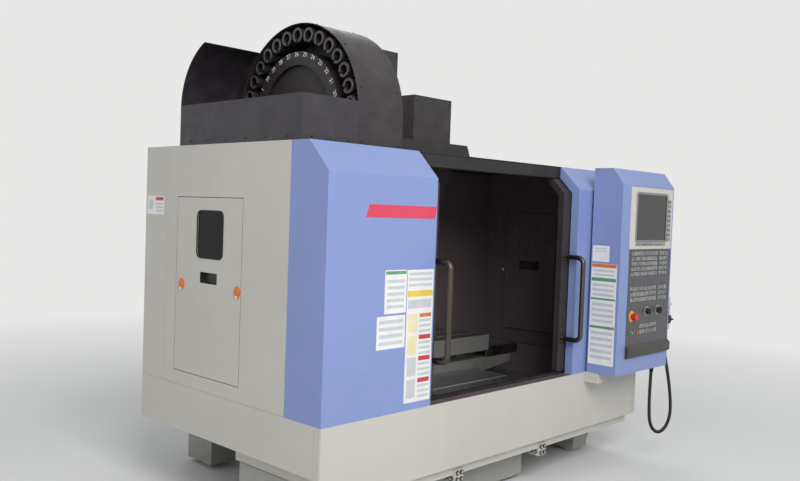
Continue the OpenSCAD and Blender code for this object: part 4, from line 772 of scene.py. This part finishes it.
def make_labels():
    """The plain plates on the left front cover, beside the service door and on the pendant."""
    front = facing_y(0, -1)
    label("front_plate_a", (325, 975, 455, 1157), front, "frame",
          [(0.03, 0.90, 0.97, 0.975, "ink_green")] + rows(0.10, 0.90, 0.12, 0.78, 5, "ink_grey"))
    label("front_plate_b", (285, 828, 453, 966), front, "frame",
          rows(0.08, 0.92, 0.12, 0.88, 4, "ink_grey"))
    blocks = [(0.02, 0.798, 0.98, 0.843, "ink_yellow"), (0.50, 0.640, 0.95, 0.668, "ink_orange")]
    blocks += rows(0.05, 0.95, 0.875, 0.980, 3, "ink_grey")
    blocks.append((0.05, 0.71, 0.95, 0.775, "ink_grey"))
    for head in (0.472, 0.310, 0.143):
        blocks.append((0.50, head, 0.95, head + 0.034, "ink_red"))
    for head in (0.640, 0.472, 0.310, 0.143):
        ink = "ink_pale_yellow" if head > 0.4 else "ink_grey"
        blocks += rows(0.50, 0.95, head - 0.115, head - 0.015, 3, "ink_grey")
        blocks.append((0.08, head - 0.11, 0.42, head + 0.03, ink))
    label("front_plate_c", (460, 583, 625, 1155), front, "frame", blocks)
    bm = bmesh.new()
    stripe = [(205, 1374), (619, 1374), (632.5, 1427), (222, 1427)]
    loops(bm, [[front(u, v, w) for u, v in stripe] for w in (0, 0.5)])
    piece("front_stripe", bm, "frame", ["stripe_red"])
    label("side_plate", (1196, 1346, 1350, 1436), facing_x(0, -1), "frame",
          [(0.04, 0.76, 0.50, 0.94, "ink_red"), (0.66, 0.28, 0.90, 0.74, "ink_grey")]
          + rows(0.06, 0.48, 0.16, 0.62, 3, "ink_grey"))
    case_side = facing_x(PENDANT_X, -1)
    label("pendant_plate_a", (-125, 1167, -22, 1254), case_side, "pendant",
          rows(0.14, 0.86, 0.62, 0.86, 2, "ink_grey"), 3)
    bands = [(0.02, 0.962, 0.98, 0.998, "ink_orange"), (0.02, 0.826, 0.98, 0.860, "ink_green"),
             (0.02, 0.642, 0.98, 0.660, "ink_green"), (0.02, 0.359, 0.98, 0.385, "ink_green")]
    for low, high, count in ((0.88, 0.94, 2), (0.68, 0.80, 3), (0.42, 0.61, 4), (0.06, 0.33, 5)):
        bands += rows(0.08, 0.92, low, high, count, "ink_grey")
    label("pendant_plate_b", (-174, 606, -20, 1157), case_side, "pendant", bands, 3)


make_labels()


# Trims
LATCH_RING = [(0, 25.5), (0.9, 25.5), (1.6, 24.5), (1.6, 15.4), (0, 15.4)]
LATCH_NUT = [(0.1, 13), (1.6, 13), (1.6, 9.5, "hex"), (8, 9.5, "hex")]
KEY_HALF, KEY_LOW, KEY_HIGH = 5.5, 31, 12


def make_latch_trims():
    """Orange rings behind the quarter-turn latches, their keys and inner nuts, and the rubber
    frames of the service windows."""
    u0, v0, u1, v1 = SERVICE_WINDOW
    for side, body, x, sign in (("left", "left_service_door", 0, -1),
                                ("right", "right_service_door", BODY_W, 1)):
        face = facing_x(x, sign)
        bm = bmesh.new()
        for y in LATCH_Y:
            lathe(bm, (x, y, LATCH_Z), (sign, 0, 0), LATCH_RING, 48, close=False)
        piece(f"{side}_latch_rings", bm, body, ["orange"])
        for y, end in zip(LATCH_Y, ("front", "rear")):
            bm = bmesh.new()
            key = (y - KEY_HALF, LATCH_Z - KEY_LOW, y + KEY_HALF, LATCH_Z - KEY_HIGH)
            pad(bm, key, 3, face, 1.7, 7.7, 1.5)
            lathe(bm, (x - sign * TONGUE_IN, y, LATCH_Z), (-sign, 0, 0), LATCH_NUT)
            latch = f"left_{end}_latch" if side == "left" else body
            piece(f"{side}_{end}_latch_trim", bm, latch, ["chrome"])
        bm = bmesh.new()
        opening = (u0 + 1, v0 + 1, u1 - 1, v1 - 1)
        border(bm, opening, face, width=9, height=2.2, r=21, c=1.0)
        piece(f"{side}_window_seal", bm, body, ["rubber"])


LEAF_FRAME_H = 3
FRAME_SCREW_D = 10
HANDLE_SCREW_R, HANDLE_SCREW_D = 16.5, 5


def make_leaf_trims():
    """Window frames on the sliding doors, and the screws of the frames and the handles."""
    low, high = DOOR_WINDOW_Z
    for leaf_x, body in zip(LEAF_X, ("left_door", "right_door")):
        left = leaf_x + (LEAF_W - DOOR_WINDOW_W) / 2
        right = left + DOOR_WINDOW_W
        bm = bmesh.new()
        opening = (left + 2, low + 2, right - 2, high - 2)
        face = facing_y(LEAF_Y, -1)
        border(bm, opening, face, width=24, height=LEAF_FRAME_H, r=28, c=1.2)
        across, upright = (left - 13, left + 90, left + 210, right + 13), (low - 12, high + 12)
        places = [(u, v) for u in across for v in upright]
        across, upright = (left - 12, right + 12), (low + 110, low + 260, low + 410)
        places += [(u, v) for v in upright for u in across]
        for u, v in places:
            pan_screw(bm, (u, LEAF_Y - LEAF_FRAME_H, v), FORWARD, FRAME_SCREW_D, 1)
        piece(f"{body}_window_frame", bm, body, ["rubber", "zinc"])
    for handle_x, body in zip(HANDLE_X, ("left_door", "right_door")):
        bm = bmesh.new()
        for z in HANDLE_Z:
            for turn in (45, 135, 225, 315):
                a = math.radians(turn)
                place = (handle_x + HANDLE_SCREW_R * math.cos(a), FLANGE_Y,
                         z + HANDLE_SCREW_R * math.sin(a))
                pan_screw(bm, place, FORWARD, HANDLE_SCREW_D)
        piece(f"{body}_handle_screws", bm, body, ["zinc"])


def pot_way(i):
    """The way from the drum's centre to a pot, from the lowest one on."""
    angle = 2 * math.pi * i / POT_COUNT
    return Vector((0, -math.sin(angle), -math.cos(angle)))


NUMBER_HIGH = 28.0
NUMBER_T = 0.2


def make_dial():
    """White numbers on the front ring of the magazine, one by each pot, heads outwards."""
    left = Vector(LEFT)
    bm = bmesh.new()
    for i in range(POT_COUNT):
        curve = bpy.data.curves.new("number", "FONT")
        curve.body = str((i + NUMBER_SHIFT) % POT_COUNT + 1)
        curve.size = NUMBER_HIGH / 1000
        curve.extrude = NUMBER_T / 1000
        curve.align_x = "CENTER"
        curve.align_y = "CENTER"
        holder = make_object("number", curve)
        mesh = bpy.data.meshes.new_from_object(holder)
        bpy.data.objects.remove(holder)
        out = pot_way(i)
        reads = out.cross(left)
        turn = Matrix((reads, out, left)).transposed().to_4x4()
        centre = at(DRUM_X - NUMBER_T, DRUM_Y, DRUM_Z) + out * NUMBER_R / 1000
        mesh.transform(Matrix.Translation(centre) @ turn)
        bm.from_mesh(mesh)
        bpy.data.meshes.remove(mesh)
    piece("dial_numbers", bm, "magazine", ["label_white"])


RIM_SECTION = ((32.0, 0.3), (31.0, -0.9), (22.4, -0.9), (21.4, 0.3))
RIM_OPEN = 28
RIM_STEPS = 30


def make_pot_rims():
    """Paler rims at the mouths of the tool pots, open at the slot."""
    bodies = {"magazine": bmesh.new(), "active_pot": bmesh.new()}
    for i in range(POT_COUNT):
        bm = bodies["active_pot" if i == 0 else "magazine"]
        out = pot_way(i)
        across = Vector((0, -out.z, out.y))
        centre = at(DRUM_X, DRUM_Y, DRUM_Z) + out * (POT_RING_R / 1000)
        rings = []
        for k in range(RIM_STEPS + 1):
            a = math.radians(-90 + RIM_OPEN / 2 + (360 - RIM_OPEN) * k / RIM_STEPS)
            ray = across * math.cos(a) + out * math.sin(a)
            rings.append([centre + ray * radius / 1000 + Vector((depth, 0, 0)) / 1000
                          for radius, depth in RIM_SECTION])
        loops(bm, rings)
    for body, bm in bodies.items():
        piece(f"{body}_rims", bm, body, ["pot_rim"], smooth=40)


STOP_RING = [(0, 31), (1.4, 31), (2.2, 30), (2.2, 12)]
BUTTON_RING = [(0, 15), (2.6, 15), (3.4, 14), (3.4, 11.2)]
KNOB_PLATE = [(0, 28), (0.5, 28), (0.6, 27.5), (0.6, 6)]
KNOB_PLATE_T = 0.6
TICK_COUNT, TICK_FROM, TICK_STEP = 11, 210, 24
TICK_R, TICK_L, TICK_W, TICK_T = 24.5, 4.4, 1.0, 0.3


def make_pendant_trims():
    """Screen frame, rings of the stop button and the push buttons, and dial plates of the knobs."""
    bm = bmesh.new()
    border(bm, SCREEN, facing_y(PANEL_Y, -1), width=14, height=3.5, r=4, c=1.5)
    piece("screen_frame", bm, "pendant", ["bezel"])
    bm = bmesh.new()
    lathe(bm, (STOP_X, PANEL_Y, STOP_Z), FORWARD, STOP_RING, 40)
    piece("stop_ring", bm, "pendant", ["yellow"])
    bm = bmesh.new()
    for x in BUTTON_X:
        lathe(bm, (x, PANEL_Y, BUTTON_Z), FORWARD, BUTTON_RING, 40)
    for x in KNOB_X:
        lathe(bm, (x, PANEL_Y, KNOB_Z), FORWARD, KNOB_PLATE, 48)
        for k in range(TICK_COUNT):
            a = math.radians(TICK_FROM - TICK_STEP * k)
            tick = at(x + TICK_R * math.cos(a), PANEL_Y - KNOB_PLATE_T,
                      KNOB_Z + TICK_R * math.sin(a))
            ray = Vector((math.cos(a), 0, math.sin(a)))
            wide = Vector((-math.sin(a), 0, math.cos(a)))
            corners = [tick + ray * s * (TICK_L / 2000) + wide * t * (TICK_W / 2000)
                       for s, t in ((-1, -1), (1, -1), (1, 1), (-1, 1))]
            lift = Vector(FORWARD) * TICK_T / 1000
            loops(bm, [corners, [c + lift for c in corners]], 1)
    piece("knob_plates", bm, "pendant", ["bezel", "label_white"])


BRACKET_X = (880.0, 1560.0)
BRACKET_FACE_Y = 22.0
BRACKET_Z = 149.0
BRACKET_HALF = 31.0
BRACKET_SCREW_D, BRACKET_SCREW_H = 21.4, 7.8


def make_bracket_screws():
    """Black socket screws on the small brackets under the front of the skirt."""
    bm = bmesh.new()
    for x in BRACKET_X:
        front = [(x + dx, BRACKET_FACE_Y, BRACKET_Z + dz) for dx in (-15, 15) for dz in (16, 48)]
        side = [(x - BRACKET_HALF, y, BRACKET_Z + 20) for y in (44, 72)]
        for places, way in ((front, FORWARD), (side, LEFT)):
            for place in places:
                cap_screw(bm, place, way, BRACKET_SCREW_D, BRACKET_SCREW_H)
    piece("bracket_screws", bm, "frame", ["black_steel"])


FOOT_Z = ROOF_Z + 16
HOOD_Z = 1730.0
MOTOR_COVER_Z = (2024, 2296)
HEAD_COVER_Z = (1300, 1640, 1980)
# Rows of cover screws: the node, the heights, the first and the last place in plan that a ray
# starts from, how many in a row, and the ray's way to the cover
FRAME_SCREWS = (
    ("tool_space_cover", (FOOT_Z,), (-60, TOOL_WALL_Y0 + 90), (-60, TOOL_WALL_Y1 - 90), 6, RIGHT),
    ("tool_space_cover", (FOOT_Z,), (50, 60), (250, 60), 3, BACKWARD),
    ("z_motor_cover", MOTOR_COVER_Z, (1062, 800), (1352, 800), 2, BACKWARD),
    ("z_motor_cover", MOTOR_COVER_Z, (800, 1026), (800, 1304), 2, RIGHT),
    ("z_motor_cover", MOTOR_COVER_Z, (1600, 1026), (1600, 1304), 2, LEFT),
    ("roof", (HOOD_Z,), (700, 600), (700, 1080), 4, RIGHT),
    ("roof", (HOOD_Z,), (1700, 600), (1700, 1080), 4, LEFT),
    ("rear_partition", (600, 1110, 1620), (60, 1350), (BODY_W - 60, 1350), 9, FORWARD),
)
HEAD_SCREWS = (
    ("head_cover", HEAD_COVER_Z, (SPINDLE_X - 132, 300), (SPINDLE_X + 132, 300), 2, BACKWARD),
    ("head_cover", HEAD_COVER_Z, (800, 600), (800, 900), 2, RIGHT),
    ("head_cover", HEAD_COVER_Z, (1600, 600), (1600, 900), 2, LEFT),
)
COVER_SCREW_D = 9
DRUM_SCREW_D, DRUM_SCREW_IN = 10, (24, 246)
RAY_R, RAY_Y = 600, -100
CAP_CIRCLE_R, CAP_COUNT, CAP_D = 88.0, 8, 12
UNDER_HEAD_Z = 1300


def screw_rows(bm, table):
    """The pan screws of a table of rows."""
    for node, heights, start, end, count, way in table:
        for z in heights:
            screw_run(bm, node, (*start, z), (*end, z), count, way, COVER_SCREW_D)


def make_cover_screws():
    """Pan screws along the sheet covers, and the socket screws under the spindle's flange."""
    bm = bmesh.new()
    screw_rows(bm, FRAME_SCREWS)
    for depth in DRUM_SCREW_IN:
        x = DRUM_X + depth
        for turn in (15, 45, 75):
            a = math.radians(turn)
            start = (x, DRUM_Y - RAY_R * math.sin(a), DRUM_Z + RAY_R * math.cos(a))
            way = (0, math.sin(a), -math.cos(a))
            screw_run(bm, "drum_cover", start, start, 1, way, DRUM_SCREW_D)
        start = (x, RAY_Y, FOOT_Z)
        screw_run(bm, "drum_cover", start, start, 1, BACKWARD, DRUM_SCREW_D)
    piece("cover_screws", bm, "frame", ["black_steel"])
    bm = bmesh.new()
    screw_rows(bm, HEAD_SCREWS)
    for k in range(CAP_COUNT):
        a = 2 * math.pi * (k + 0.5) / CAP_COUNT
        start = (SPINDLE_X + CAP_CIRCLE_R * math.cos(a), SPINDLE_Y + CAP_CIRCLE_R * math.sin(a),
                 UNDER_HEAD_Z)
        place, normal = surface("spindle_cartridge", start, UP)
        cap_screw(bm, place, normal, CAP_D)
    piece("head_screws", bm, "head", ["black_steel"])


GEAR_BACK_Y = 1834.0
DRIVE_X, DRIVE_Z, DRIVE_H, DRIVE_D = 740.0, 1330.0, 260.0, 150.0
DRIVE_COUNT, DRIVE_PITCH = 6, 110
BREAKER_Z, BREAKER_D = 1130.0, 80.0
BREAKER_COUNT, BREAKER_PITCH = 10, 62
CONTROL_X, CONTROL_Z, CONTROL_D = 1484.0, 1130.0, 120.0
FILTER_X, FILTER_Z, FILTER_D = 1070.0, 820.0, 110.0
FILTER_COUNT, FILTER_PITCH = 4, 140
GEAR_FINISHES = ["gear", "black", "gear_pale", "ink_green"]
BLACK, PALE, GREEN = 1, 2, 3


def add_drive(bm, x):
    """The front of a drive: its cover with louvres, a plate, and terminals with their screws."""
    front_y = GEAR_BACK_Y + DRIVE_D
    face = facing_y(front_y, 1)
    pad(bm, (x + 2, DRIVE_Z + 2, x + 88, DRIVE_Z + DRIVE_H - 2), 4, face, 0, 6, 1.5)
    for k in range(7):
        z = DRIVE_Z + DRIVE_H - 18 - 9 * k
        pad(bm, (x + 12, z - 4, x + 78, z), 1.9, face, 5.9, 6.9, 0.4, BLACK)
    pad(bm, (x + 14, DRIVE_Z + 96, x + 76, DRIVE_Z + 150), 2, face, 5.9, 6.5, 0.3, PALE)
    for k in range(6):
        left = x + 10 + 12 * k
        pad(bm, (left, DRIVE_Z + 12, left + 10, DRIVE_Z + 34), 1, face, 5.9, 13, 1, GREEN)
        pan_screw(bm, (left + 5, front_y + 13, DRIVE_Z + 23), BACKWARD, 6, PALE)


def add_breaker(bm, x):
    """The front of a breaker: its raised middle, its toggle and its six terminal screws."""
    front_y = GEAR_BACK_Y + BREAKER_D
    face = facing_y(front_y, 1)
    pad(bm, (x + 2, BREAKER_Z + 22, x + 50, BREAKER_Z + 68), 3, face, 0, 7, 1.5, PALE)
    pad(bm, (x + 20, BREAKER_Z + 34, x + 32, BREAKER_Z + 56), 2, face, 6.9, 15, 1.5, BLACK)
    for z in (BREAKER_Z + 10, BREAKER_Z + 80):
        for dx in (12, 26, 40):
            pan_screw(bm, (x + dx, front_y, z), BACKWARD, 8)


def add_control_unit(bm, x):
    """The front of the control unit: its cover, two fans with their grilles, and a plate."""
    front_y = GEAR_BACK_Y + CONTROL_D
    face = facing_y(front_y, 1)
    pad(bm, (x + 4, CONTROL_Z + 4, x + 176, CONTROL_Z + 456), 6, face, 0, 4, 1.2)
    for z in (CONTROL_Z + 90, CONTROL_Z + 370):
        fan = (x + 90, front_y + 4, z)
        lathe(bm, fan, BACKWARD, [(-0.2, 62), (3, 60), (3, 54), (0.4, 52)], 40, BLACK)
        for r in (16, 28, 40):
            wire = [(0, r + 2), (2.4, r + 1), (2.4, r - 1), (0, r - 2)]
            lathe(bm, fan, BACKWARD, wire, 36, PALE)
    pad(bm, (x + 30, CONTROL_Z + 190, x + 150, CONTROL_Z + 270), 3, face, 3.9, 4.6, 0.3, PALE)


def add_filter(bm, x):
    """The louvres of a filter."""
    face = facing_y(GEAR_BACK_Y + FILTER_D, 1)
    for k in range(9):
        z = FILTER_Z + 10 + 18 * k
        pad(bm, (x + 6, z, x + 104, z + 9), 2, face, 0, 8, 1.5)


def make_cabinet_gear():
    """The fronts of the drives, breakers, control unit and filters inside the cabinet."""
    bm = bmesh.new()
    for add_front, x, count, pitch in ((add_drive, DRIVE_X, DRIVE_COUNT, DRIVE_PITCH),
                                       (add_breaker, DRIVE_X, BREAKER_COUNT, BREAKER_PITCH),
                                       (add_control_unit, CONTROL_X, 1, 0),
                                       (add_filter, FILTER_X, FILTER_COUNT, FILTER_PITCH)):
        for i in range(count):
            add_front(bm, x + pitch * i)
    piece("cabinet_gear", bm, "frame", GEAR_FINISHES)


WHEEL_RING = [(-0.1, 28.2), (0.5, 28.2), (0.7, 27.8), (0.7, 25.8), (-0.1, 25.6)]
FIELD_Z, FIELD_HALF = (853, 893), 23
SMALL_KEY_Z, SMALL_KEY_W, SMALL_KEY_PITCH = (866, 880), 10, 13.5
SMALL_KEY_X = HANDSET_X - 19
HANDSET_RAY = (HANDSET_X, -600, 870)


def make_handset_trims():
    """The ring round the handset's wheel, and the field over it with three small keys."""
    y = surface("handset", HANDSET_RAY, BACKWARD)[0][1]
    face = facing_y(y, -1)
    bm = bmesh.new()
    lathe(bm, (HANDSET_X, y, WHEEL_Z), FORWARD, WHEEL_RING, 48)
    low, high = FIELD_Z
    pad(bm, (HANDSET_X - FIELD_HALF, low, HANDSET_X + FIELD_HALF, high), 3, face, -0.1, 0.7, 0.3)
    low, high = SMALL_KEY_Z
    for k in range(3):
        x = SMALL_KEY_X + SMALL_KEY_PITCH * k
        pad(bm, (x, low, x + SMALL_KEY_W, high), 2, face, 0.6, 2.4, 0.6, 1)
    piece("handset_fields", bm, "pendant", ["bezel", "gear_pale"])


make_bracket_screws()
make_cover_screws()
make_cabinet_gear()
make_handset_trims()
make_latch_trims()
make_leaf_trims()
make_dial()
make_pot_rims()
make_pendant_trims()


# Floor, world and lamps, in metres of the frame
FADE_FROM, FADE_TO = 2.2, 6.5
FLOOR_REACH = 40
SKY = (0.93, 0.96, 1.0, 1)
SKY_STRENGTH = 0.44
# Name, place, the point it looks at, side and power in watts
LAMPS = (
    ("front_lamp", (-2.8, -5.2, 4.4), (0, 0, 1.0), 3.5, 295),
    ("left_lamp", (-5.6, -2.6, 3.0), (0, 0, 1.1), 3.0, 10),
    ("back_lamp", (3.5, 5.0, 5.0), (0, 0, 1.0), 3.5, 100),
)


def see_backdrop(tree):
    """1 for the rays that should see the pale background: camera, gloss and glass."""
    path = add(tree, "ShaderNodeLightPath").outputs
    seen = math_node(tree, "MAXIMUM", path["Is Camera Ray"], path["Is Glossy Ray"])
    return math_node(tree, "MAXIMUM", seen, path["Is Transmission Ray"])


def make_floor():
    """A wide pale floor that keeps the machine's shadow, and fades into the background far out."""
    mat, tree, bsdf = start_material("floor_paint")
    patch = spread(tree, noise(tree, 0.8, 4), 0.0, 1.0)
    tone = blend(tree, patch, srgb(228, 228, 226), srgb(233, 233, 232))
    tree.links.new(tone, bsdf.inputs["Base Color"])
    bsdf.inputs["Roughness"].default_value = 0.9
    bsdf.inputs["Specular IOR Level"].default_value = 0.1
    away = vector_node(tree, "LENGTH", own_place(tree), result="Value")
    fade = spread(tree, away, 0.0, 1.0, FADE_FROM, FADE_TO)
    far = math_node(tree, "MULTIPLY", fade, see_backdrop(tree))
    glow = add(tree, "ShaderNodeEmission", {"Color": BACKDROP})
    mixed = add(tree, "ShaderNodeMixShader", {0: far, 1: bsdf.outputs[0], 2: glow.outputs[0]})
    tree.links.new(mixed.outputs[0], tree.nodes["Material Output"].inputs["Surface"])
    bm = bmesh.new()
    ends = ((-1, -1), (1, -1), (1, 1), (-1, 1))
    bm.faces.new([bm.verts.new((x * FLOOR_REACH, y * FLOOR_REACH, 0)) for x, y in ends])
    mesh = bpy.data.meshes.new("floor")
    bm.to_mesh(mesh)
    bm.free()
    mesh.materials.append(mat)
    make_object("floor", mesh)


def make_world():
    """A plain world that lights from all round and shows a pale background."""
    world = bpy.data.worlds.new("world")
    bpy.context.scene.world = world
    world.use_nodes = True
    tree = world.node_tree
    tree.nodes.clear()
    light = add(tree, "ShaderNodeBackground", {"Color": SKY, "Strength": SKY_STRENGTH})
    seen = add(tree, "ShaderNodeBackground", {"Color": BACKDROP, "Strength": 1.0})
    links = {0: see_backdrop(tree), 1: light.outputs[0], 2: seen.outputs[0]}
    mixed = add(tree, "ShaderNodeMixShader", links)
    add(tree, "ShaderNodeOutputWorld", {0: mixed.outputs[0]})


def make_lamp(name, place, aim, size, power):
    """A square soft lamp that looks at a point."""
    data = bpy.data.lights.new(name, "AREA")
    data.shape = "SQUARE"
    data.size = size
    data.energy = power
    lamp = make_object(name, data)
    lamp.location = place
    lamp.rotation_euler = (Vector(aim) - Vector(place)).to_track_quat("-Z", "Y").to_euler()


make_floor()
make_world()
for lamp in LAMPS:
    make_lamp(*lamp)

scene = bpy.context.scene
scene.view_settings.view_transform = "Standard"
